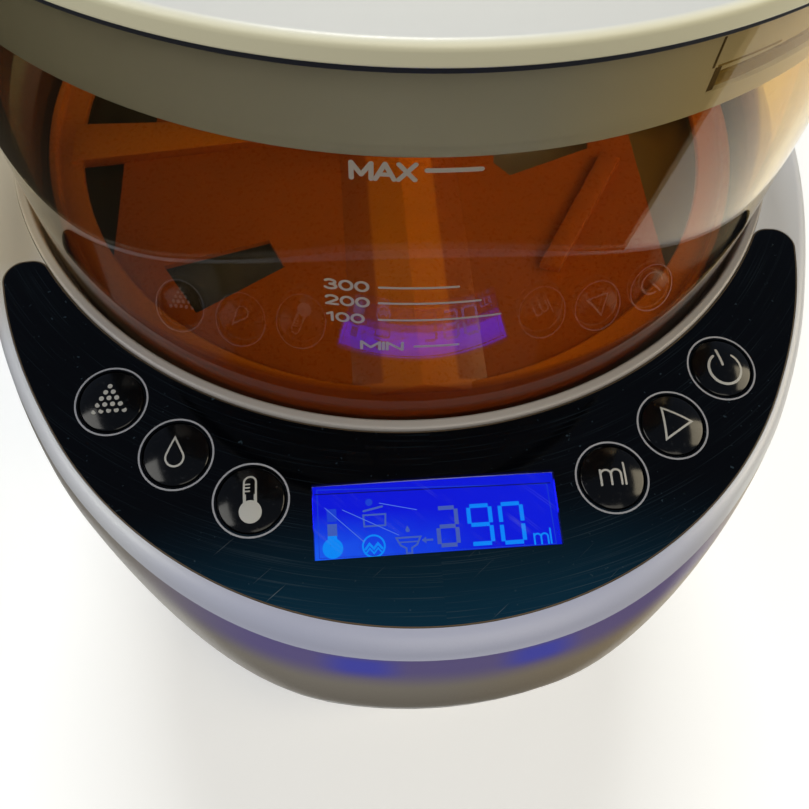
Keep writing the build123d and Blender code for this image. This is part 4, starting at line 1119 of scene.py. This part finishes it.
def dots_tree():
    """Geometry nodes: a short round dot on every point of a mesh."""
    tree = bpy.data.node_groups.new("printed_dots", "GeometryNodeTree")
    face = tree.interface
    face.new_socket("Points", in_out="INPUT", socket_type="NodeSocketGeometry")
    radius = face.new_socket("Dot radius", in_out="INPUT", socket_type="NodeSocketFloat")
    depth = face.new_socket("Dot depth", in_out="INPUT", socket_type="NodeSocketFloat")
    ink = face.new_socket("Ink", in_out="INPUT", socket_type="NodeSocketMaterial")
    face.new_socket("Dots", in_out="OUTPUT", socket_type="NodeSocketGeometry")
    given = add(tree, "NodeGroupInput")
    made = add(tree, "NodeGroupOutput")
    disc = add(tree, "GeometryNodeMeshCylinder", {"Vertices": 14, "Radius": given.outputs[1],
                                                  "Depth": given.outputs[2]})
    spread = add(tree, "GeometryNodeInstanceOnPoints", {"Points": given.outputs[0],
                                                        "Instance": disc.outputs["Mesh"]})
    solid = add(tree, "GeometryNodeRealizeInstances", {0: spread.outputs[0]})
    inked = add(tree, "GeometryNodeSetMaterial", {"Geometry": solid.outputs[0],
                                                  "Material": given.outputs[3]})
    tree.links.new(inked.outputs[0], made.inputs[0])
    return tree, (radius.identifier, depth.identifier, ink.identifier)


PRINT_WHITE = moulding("print_white", (0.52, 0.52, 0.50), 0.5, drift=0.25, grain=3000)
RING_PALE = moulding("ring_pale", (0.40, 0.41, 0.46), 0.4, drift=0.4, grain=2400)
DOTS_TREE, DOT_INPUTS = dots_tree()


def heap_mark(matrix):
    """The powder heap, its dots set by geometry nodes on the dome."""
    place = on_dome(matrix)
    spots = new_shape("powder_mark", [place(u, v, 0.02) for u, v in heap_dots()], [])
    step = spots.modifiers.new("dots", "NODES")
    step.node_group = DOTS_TREE
    for socket, value in zip(DOT_INPUTS, (0.56 * MM, 0.12 * MM, PRINT_WHITE)):
        step[socket] = value
    return bake(spots)


def water_mark(matrix):
    outline = fine([(x, y - 1.2) for x, y in drop_outline(4.0, 6.8)], True, 0.35)
    return merged("water_mark", [ribbon(outline, 0.42, on_dome(matrix), True, MARK_HEIGHT)])


def dome_disc(x, y, r, place, rings=5):
    """A filled round mark that follows a dome, as rings about its middle."""
    return [ribbon(loop_of(x, y, r * (i + 0.5) / rings), r / rings + 0.02, place, True, MARK_HEIGHT)
            for i in range(rings)]


def heat_mark(matrix):
    """A thermometer, its bulb and half its tube filled, with three ticks."""
    place = on_dome(matrix)
    tube = fine([(1.3, -1.0), (1.3, 3.7)]) + bow(0, 3.7, 1.3, 0, pi, 12)[1:]
    tube += fine([(-1.3, 3.7), (-1.3, -1.0)])[1:]
    parts = [ribbon(tube, 0.42, place, height=MARK_HEIGHT),
             ribbon(fine([(0, -1.5), (0, 0.9)]), 2.7, place, height=MARK_HEIGHT, tips=False)]
    parts += dome_disc(0, -2.9, 2.45, place)
    parts += [ribbon([(-1.1, y), (-0.1, y)], 0.34, place, height=MARK_HEIGHT)
              for y in (1.6, 2.4, 3.2)]
    return merged("heat_mark", parts)


def volume_mark(matrix):
    return merged("volume_mark", word("ml", 4.9, 0.48, shifted(on_dome(matrix), -3.0, -2.0),
                                      raised=MARK_HEIGHT))


def start_mark(matrix):
    corners = fine([(-2.5, -3.7), (4.2, 0.3), (-2.3, 3.9)], True)
    return merged("start_mark", [ribbon(corners, 0.48, on_dome(matrix), True, MARK_HEIGHT)])


def power_mark(matrix):
    place = on_dome(matrix)
    opening = radians(36)
    arc = bow(0.3, -0.6, 4.0, pi / 2 + opening, 2 * pi + pi / 2 - opening, 48)
    return merged("power_mark", [ribbon(arc, 0.6, place, height=MARK_HEIGHT),
                                 ribbon(fine([(-0.3, 0.2), (-0.9, 4.2)]), 0.6, place,
                                        height=MARK_HEIGHT)])


BUTTON_GLOSS = gloss_black("button_gloss")
MARKS = (heap_mark, water_mark, heat_mark, volume_mark, start_mark, power_mark)
rings = []
for name, matrix, mark in zip(BUTTON_NAMES, BUTTON_PLACES, MARKS):
    cap = turned("button_cap_" + name, cap_profile(), 96, matrix)
    dress(cap, BUTTON_GLOSS, "button_" + name, "button_black", "button_" + name, crease=40)
    dress(mark(matrix), PRINT_WHITE, "button_" + name, "button_black", crease=50)
    rings.append(ribbon(loop_of(0, 0, 8.25, 96), 0.4, on_matrix(matrix), True, 0.03, 0.2))
dress(merged("button_rings", rings), RING_PALE, "machine", "panel_black", crease=60)


# ---------------------------------------------------------------- powder container
# A clear smoky cup, moulded in one piece: tapered wall, floor with the hub hole and the outlet,
# and three lugs inside its mouth that hold the lid.  The level marks are printed on the wall.
TUB_LIP_R, TUB_TOP_R, TUB_TOP, TUB_WALL = 100.5, 101.7, 96.9, 2.3
TUB_BOTTOM, FLOOR_THICK = -13.7, 3.0
# The wall tint is the plastic's own; the side tints are painted shade far left and painted warm light
# far right.
WALL_TINT, LEFT_SHADE_TINT, RIGHT_WARM_LIGHT_TINT = (0.59, 0.57, 0.50), (0.33, 0.30, 0.20), (0.90, 0.66, 0.24)
# Painted shade on the wall's foot, and painted light: the floor inside is left almost clear to brighten
# the well below.
FOOT_SHADE_TINT, FLOOR_LIGHTENING_TINT = (0.24, 0.15, 0.13), (0.92, 0.90, 0.88)
FOOT_TOP = 11.0               # the wall's thicker foot, darkened by painted shade, ends at this height


def clear_finish(name, tint, ior, roughness=0.02, side_light=None, foot_lighting=None):
    """Tinted clear plastic, which shades lamps too.

    Side light is the painted shade far left and the painted warm light far right, as tints; foot
    lighting is the painted shade on the wall's foot and the painted light of the floor inside it.
    """
    material, tree, shader = new_material(name, {"Roughness": roughness, "IOR": ior,
                                                 "Transmission Weight": 1.0})
    place, x, _, z = position(tree)
    colour = (*tint, 1)
    if foot_lighting:
        # Painted light: the floor inside takes a clearer tint, so what lies beneath looks brighter.
        inside = ranged(tree, about_axis(tree, place)[1], 0.096, 0.094)
        colour = tinted(tree, inside, colour, foot_lighting[1])
    if side_light:
        # Painted shade far left, and painted warm light far right.
        colour = tinted(tree, ranged(tree, x, -0.01, -0.08), colour, side_light[0])
        right = ranged(tree, x, 0.01, 0.08)
        colour = tinted(tree, right, colour, side_light[1])
        # Painted sheen: reflections turn amber on the right.
        painted_sheen = tinted(tree, right, (1, 1, 1, 1), (0.75, 0.40, 0.13))
        tree.links.new(painted_sheen, shader.inputs["Specular Tint"])
    if foot_lighting:
        # Painted shade: a darker tint on the wall's foot.
        low = ranged(tree, z, (LIP_Z + FOOT_TOP + 1) * MM, (LIP_Z + FOOT_TOP - 1) * MM)
        outside = maths(tree, "SUBTRACT", 1.0, inside)
        colour = tinted(tree, times(tree, low, outside), colour, foot_lighting[0])
    fill(tree, shader, {"Base Color": colour})
    shade = add(tree, "ShaderNodeBsdfTransparent", {"Color": (*[sqrt(c) for c in tint], 1)})
    show_to(tree, add(tree, "ShaderNodeLightPath").outputs["Is Shadow Ray"], shader, shade)
    return material


def cup(name, corners):
    """A solid turned from softened corners, heights counted from the collar's top."""
    return turned(name, [(r, LIP_Z + z) for r, z in soften(corners)], 360)


THIRDS = (0, 120, 240)        # the lugs and their channels, degrees
TUB_CLEAR = clear_finish("tub_clear", WALL_TINT, 1.27, side_light=(LEFT_SHADE_TINT, RIGHT_WARM_LIGHT_TINT),
                         foot_lighting=(FOOT_SHADE_TINT, FLOOR_LIGHTENING_TINT))
in_floor = TUB_BOTTOM + FLOOR_THICK
tub = cup("powder_tub_clear", [
    (14.5, TUB_BOTTOM), (96.5, TUB_BOTTOM, 1.5), (100.2, TUB_BOTTOM + 5, 3),
    (TUB_LIP_R, 0), (TUB_TOP_R, TUB_TOP, 0.8), (TUB_TOP_R - TUB_WALL, TUB_TOP, 0.8),
    (TUB_LIP_R - TUB_WALL, 0), (TUB_LIP_R - TUB_WALL - 0.3, in_floor, 2.5), (14.5, in_floor)])
outlet_tool = prism("tool", oblong(-15, 15, OUTLET_Y - 11, OUTLET_Y + 11, 2.5),
                    LIP_Z + TUB_BOTTOM - 2, LIP_Z + in_floor + 2)
cut(tub, outlet_tool)


def sector(name, r0, r1, z0, z1, start, end, steps=12):
    """A curved block between two radii, angles in degrees off the front."""
    points = []
    for i in range(steps + 1):
        a = radians(start + (end - start) * i / steps)
        points += [(r * sin(a), TUB_Y - r * cos(a), LIP_Z + z)
                   for r, z in ((r0, z0), (r1, z0), (r1, z1), (r0, z1))]
    return new_shape(name, points, bar_faces(steps + 1))


LUG_Z = 83.0                  # underside of the lugs, above the collar
lugs = [sector("lug", 97.9, 99.8, LUG_Z, LUG_Z + 3.8, 39.5 + turn, 43.5 + turn)
        for turn in THIRDS]
cut(tub, *lugs, operation="UNION")
dress(tub, TUB_CLEAR, "powder_container", "tub_clear", "powder_tub")
paint(moulding("seal_grey", (0.30, 0.30, 0.30), 0.7, grain=900, depth=0.04), "hub_seal",
      "chute_seal", "dock_seal")


def on_wall(phi, z):
    """Layout on the container's wall: right along its girth from an angle, up from a height."""
    def place(u, v, h):
        height = z + v
        r = TUB_LIP_R + (TUB_TOP_R - TUB_LIP_R) * height / TUB_TOP
        a = radians(phi) + u / r
        return Vector(((r + h) * sin(a), TUB_Y - (r + h) * cos(a), LIP_Z + height))
    return place


def level_line(start, end, z, width):
    """A printed dash between two angles."""
    length = radians(end - start) * TUB_LIP_R
    dash = [(length * i / 8, 0) for i in range(9)]
    return ribbon(dash, width, on_wall(start, z), height=0.03, sink=0.1)


def level_word(text, phi, z, height, weight, stretch=1.0):
    return word(text, height, weight, on_wall(phi, z), stretch, raised=0.03, sink=0.1)


marks = level_word("MAX", -8.8, 76.2, 3.2, 0.75) + [level_line(-2.6, 1.9, 78.2, 0.85)]
marks += level_word("MIN", -8.3, 28.4, 2.6, 0.6, 1.5) + [level_line(-2.4, 2.4, 29.6, 0.6)]
for text, z, end in (("300", 47.8, 1.5), ("200", 43.0, 4.0), ("100", 37.6, 6.5)):
    marks += level_word(text, -11.8, z, 2.6, 0.55, 1.35)
    marks.append(level_line(-6.4, end, z + 1.3, 0.5))
dress(merged("tub_level_marks", marks), moulding("level_print", (0.46, 0.40, 0.34), 0.5,
                                                  drift=0.3, grain=2000),
      "powder_container", "tub_clear", crease=60)


# ---------------------------------------------------------------- stirring wheel
# One amber moulding that lies on the container's floor and sweeps the powder to the outlet: a
# ring, a plate with windows, two flat arms, two ribs, a long ridge and a tall hub.
WHEEL_Z = LIP_Z - 7.0


def amber_finish(name, tone, plate_shade_tone):
    """Amber plastic, with painted shade: browner on the thin plate that lies lower than the rest."""
    material, tree, shader = new_material(name, {"Subsurface Weight": 0.15,
                                                 "Subsurface Radius": (0.004, 0.0015, 0.0003)})
    colour = skinned(tree, shader, tone, 0.3, 0.35, 900.0, 0.02, 0.5)
    place, _, _, z = position(tree)
    # Painted shade on the plate, low between the ring and the arms.
    low = ranged(tree, z, (WHEEL_Z + 1.15) * MM, (WHEEL_Z + 0.85) * MM)
    inside = ranged(tree, about_axis(tree, place)[1], 0.0880, 0.0874)
    tree.links.new(tinted(tree, times(tree, low, inside), colour, plate_shade_tone),
                   shader.inputs["Base Color"])
    return material


def bevelled(shape, width):
    """Rounds every edge of a simple solid."""
    form = bmesh.new()
    form.from_mesh(shape.data)
    bmesh.ops.bevel(form, geom=form.edges[:], offset=width * MM, segments=2, profile=0.5,
                    affect="EDGES", clamp_overlap=True)
    bmesh.ops.recalc_face_normals(form, faces=form.faces)
    form.to_mesh(shape.data)
    form.free()
    return shape


def half_turned(outline, side):
    """The outline itself for side 1, and turned by half a turn for side -1."""
    return [(side * x, side * y) for x, y in outline]


def join(name, shapes):
    """Joins separate solids into one piece."""
    form = bmesh.new()
    for shape in shapes:
        form.from_mesh(shape.data)
        bpy.data.objects.remove(shape)
    return new_piece(name, form)


WINDOW = [(-63, -48), (-36, -41), (-32, -50), (-54, -63)]
RELIEF = [(27, -17), (31, -22), (55, -13), (57, 0), (30, 0)]
ARM = [(-90, -13.5), (-40, -8), (-14, -8), (-14, 3), (-40, 0.5), (-90, 0.5)]
RIB = [(58, -16), (34, -54), (39, -56), (63, -19)]
CHORDS = [[(x0, -120), (x1, -120), (x1, 0), (x0, 0)] for x0, x1 in ((-120, -76), (68, 120))]
wheel_plate = turned("plate", [(0, WHEEL_Z - 2.9), (89, WHEEL_Z - 2.9), (89, WHEEL_Z - 1.4),
                               (0, WHEEL_Z - 1.4)], 180)
cut(wheel_plate, *[prism("tool", half_turned(outline, side), WHEEL_Z - 6, WHEEL_Z + 6, ON_AXIS)
                   for side in (1, -1) for outline in (WINDOW, RELIEF, *CHORDS)])
wheel_parts = [wheel_plate]
ring_section = soften([(97, WHEEL_Z - 2.2, 0.4), (97, WHEEL_Z + 2, 0.6), (95, WHEEL_Z + 2, 0.6),
                       (94.6, WHEEL_Z, 0.8), (88, WHEEL_Z, 0.6), (88, WHEEL_Z - 2.2, 0.4)])
wheel_parts.append(turned("ring", ring_section, 240))
for side in (1, -1):
    for outline, top in ((ARM, 1.2), (RIB, 0.8)):
        wheel_parts.append(bevelled(prism("arm", half_turned(outline, side), WHEEL_Z - 2.2,
                                          WHEEL_Z + top, ON_AXIS), 0.5))
    ridge = [(-18, -2), (18, -2), (0, 4)]
    standing = Matrix.Translation((0, TUB_Y, WHEEL_Z)) @ Matrix.Rotation(side * pi / 2, 4, "X")
    wheel_parts.append(bevelled(prism("ridge", [(x, side * z) for x, z in ridge], 0, 90,
                                      standing), 0.5))
hub_section = soften([(7.6, WHEEL_Z - 2.9), (17, WHEEL_Z - 2.9), (17, WHEEL_Z + 8, 1.2),
                      (13, WHEEL_Z + 8, 1.0), (13, WHEEL_Z + 18, 2.5), (0, WHEEL_Z + 18),
                      (0, WHEEL_Z + 8.5), (7.6, WHEEL_Z + 8.5)])
wheel_parts.append(turned("hub", hub_section, 96))
wheel_parts.append(turned("spigot", [(7.8, LIP_Z + TUB_BOTTOM), (11.9, LIP_Z + TUB_BOTTOM),
                                     (11.9, WHEEL_Z - 2.8), (7.8, WHEEL_Z - 2.8)], 96))
wheel = join("stirring_wheel_amber", wheel_parts)
# The plate's browner tone is painted shade.
AMBER = amber_finish("wheel_amber", (0.72, 0.185, 0.004), (0.46, 0.092, 0.003))
dress(wheel, AMBER, "stirring_wheel", "wheel_amber", "stirring_wheel")


# ---------------------------------------------------------------- container lid
# A white lid with a flat rim round a raised middle, a dark seal under the rim and a deep inner
# skirt with three bayonet channels that take the container's lugs.
LID_R, LID_BASE, LID_EDGE, LID_TOP = 104.3, 98.3, 102.0, 111.0
CROWN_R = 90.0                # the raised middle
SKIRT_BOTTOM = 77.9


def lid_finish(name, tone, edge_warm_light):
    """White plastic with painted warm light: it turns bright cream at the lid's edge."""
    material, tree, shader = new_material(name)
    colour = skinned(tree, shader, tone, 0.36, 0.04, 1500, 0.012)
    edge = ranged(tree, about_axis(tree, position(tree)[0])[1], 0.1030, 0.1042)
    tree.links.new(tinted(tree, edge, colour, edge_warm_light), shader.inputs["Base Color"])
    return material


# Painted warm light: a bright cream edge and side band.
LID_WHITE = lid_finish("lid_white", (0.62, 0.62, 0.60), (0.92, 0.88, 0.64))
lid = cup("container_lid_white", [
    (LID_R, LID_BASE, 0.4), (LID_R, LID_EDGE, 1.2), (CROWN_R, LID_EDGE, 0.8),
    (CROWN_R, LID_TOP, 4), (0, LID_TOP), (0, LID_TOP - 3.2), (38, LID_TOP - 3.2),
    (38, LID_TOP - 6, 0.4), (40, LID_TOP - 6, 0.4), (40, LID_TOP - 3.2),
    (CROWN_R - 3.2, LID_TOP - 3.2), (CROWN_R - 3.2, LID_BASE)])
dress(lid, LID_WHITE, "container_lid", "lid_white", "tub_lid")
skirt = cup("lid_skirt_white", [
    (96.4, SKIRT_BOTTOM), (98.1, SKIRT_BOTTOM, 0.4), (98.2, SKIRT_BOTTOM + 2.4),
    (98.6, SKIRT_BOTTOM + 2.8), (98.6, LID_BASE), (96.4, LID_BASE)])
# Dark sheets at each channel's end and olive sheets over its floor are painted shade.
channels, stops, beds = [], [], []
for turn in THIRDS:
    for pieces, name, r0, r1, z0, z1, start, end, steps in (
            (channels, "tool", 97.5, 100, -0.4, 4.2, 21.8, 45.1, 24),
            (channels, "tool", 97.5, 100, SKIRT_BOTTOM - 1 - LUG_Z, 4.2, 37.9, 45.1, 12),
            (stops, "stop", 97.45, 98.45, -0.3, 4.15, 21.85, 22.6, 2),
            (stops, "stop", 97.6, 98.7, 4.4, 9.6, 21.4, 21.6, 2),
            (beds, "bed", 97.45, 97.9, -0.3, 2.0, 22.6, 44.9, 24),
            (beds, "bed", 97.6, 98.7, 4.3, 4.6, 22.0, 28.8, 8)):
        pieces.append(sector(name, r0, r1, LUG_Z + z0, LUG_Z + z1, start + turn, end + turn, steps))
cut(skirt, *channels)
SKIRT_WHITE = moulding("skirt_white", (0.58, 0.58, 0.56), 0.4, drift=0.08, grain=700, depth=0.02)
dress(skirt, SKIRT_WHITE, "container_lid", "skirt_white", "lid_skirt")
dress(join("channel_stops", stops), moulding("channel_shade_dark", (0.10, 0.07, 0.035), 0.6),
      "container_lid", "skirt_white")
dress(join("channel_beds", beds), moulding("channel_shade_olive", (0.26, 0.20, 0.08), 0.6),
      "container_lid", "skirt_white")
seal = cup("lid_seal_navy", [(98.8, 97.05), (103.7, 97.05, 0.3), (103.7, LID_BASE - 0.02),
                             (98.8, LID_BASE - 0.02)])
dress(seal, moulding("seal_navy", (0.012, 0.014, 0.022), 0.7, grain=900, depth=0.04),
      "container_lid", "seal_navy", "lid_seal")


# ---------------------------------------------------------------- drive and electronics
# Inside the head: the control board under the panel, and the motor, pinion and large gear that
# turn the stirring wheel.
paint(moulding("board_green", (0.02, 0.14, 0.06), 0.4), "control_board", "power_board")
paint(moulding("switch_black", (0.03, 0.03, 0.03), 0.5), "key_switches", "funnel_switch")
paint(moulding("tray_grey", (0.22, 0.23, 0.24), 0.55), "gear_tray")
paint(moulding("axle_steel", (0.58, 0.58, 0.59), 0.25, metallic=1.0), "drive_axle",
      "heater_sensor", "lid_hinge_pins")
paint(moulding("gear_nylon", (0.72, 0.70, 0.60), 0.5), "drive_gear")
paint(moulding("pinion_blue", (0.05, 0.09, 0.18), 0.45), "motor_pinion", "pump_impeller")
paint(moulding("motor_can", (0.42, 0.43, 0.44), 0.35, metallic=1.0), "drive_motor", "pump_motor")


# ---------------------------------------------------------------- funnel and bottle stand
# A slide-in funnel of white plastic on two rails under the head, and a grey stand with a drip
# grid that hooks into the column's slots.
FUNNEL_WHITE = moulding("funnel_white", (0.62, 0.62, 0.62), 0.36)
paint(FUNNEL_WHITE, "funnel_bowl", "funnel_cover")
paint(moulding("part_white", (0.58, 0.58, 0.58), 0.45), "powder_chute", "water_nozzle",
      "funnel_rails", "tank_valve", "valve_cage", "tank_dock", "pump_housing")
paint(moulding("stand_grey", (0.16, 0.165, 0.18), 0.5, grain=1300, depth=0.05), "bottle_stand",
      "drip_grid")


# ---------------------------------------------------------------- water tank and water path
# A clear pale blue tank with a hinged white flap, its valve, float and dock, and the hoses,
# pump and heater behind the column's wall.
TANK_TINT = (0.80, 0.88, 0.94)
paint(clear_finish("tank_clear", TANK_TINT, 1.3, 0.04), "water_tank")
paint(LID_WHITE, "tank_lid")
paint(moulding("float_orange", (0.75, 0.16, 0.02), 0.5), "tank_float")
paint(moulding("spring_steel", (0.55, 0.55, 0.57), 0.25, metallic=1.0), "valve_spring")
paint(moulding("hose_silicone", (0.66, 0.67, 0.68), 0.4), "tank_hose", "heater_hose",
      "outlet_hose")
paint(moulding("heater_cast", (0.5, 0.5, 0.5), 0.5, grain=700, depth=0.1, metallic=1.0),
      "water_heater")
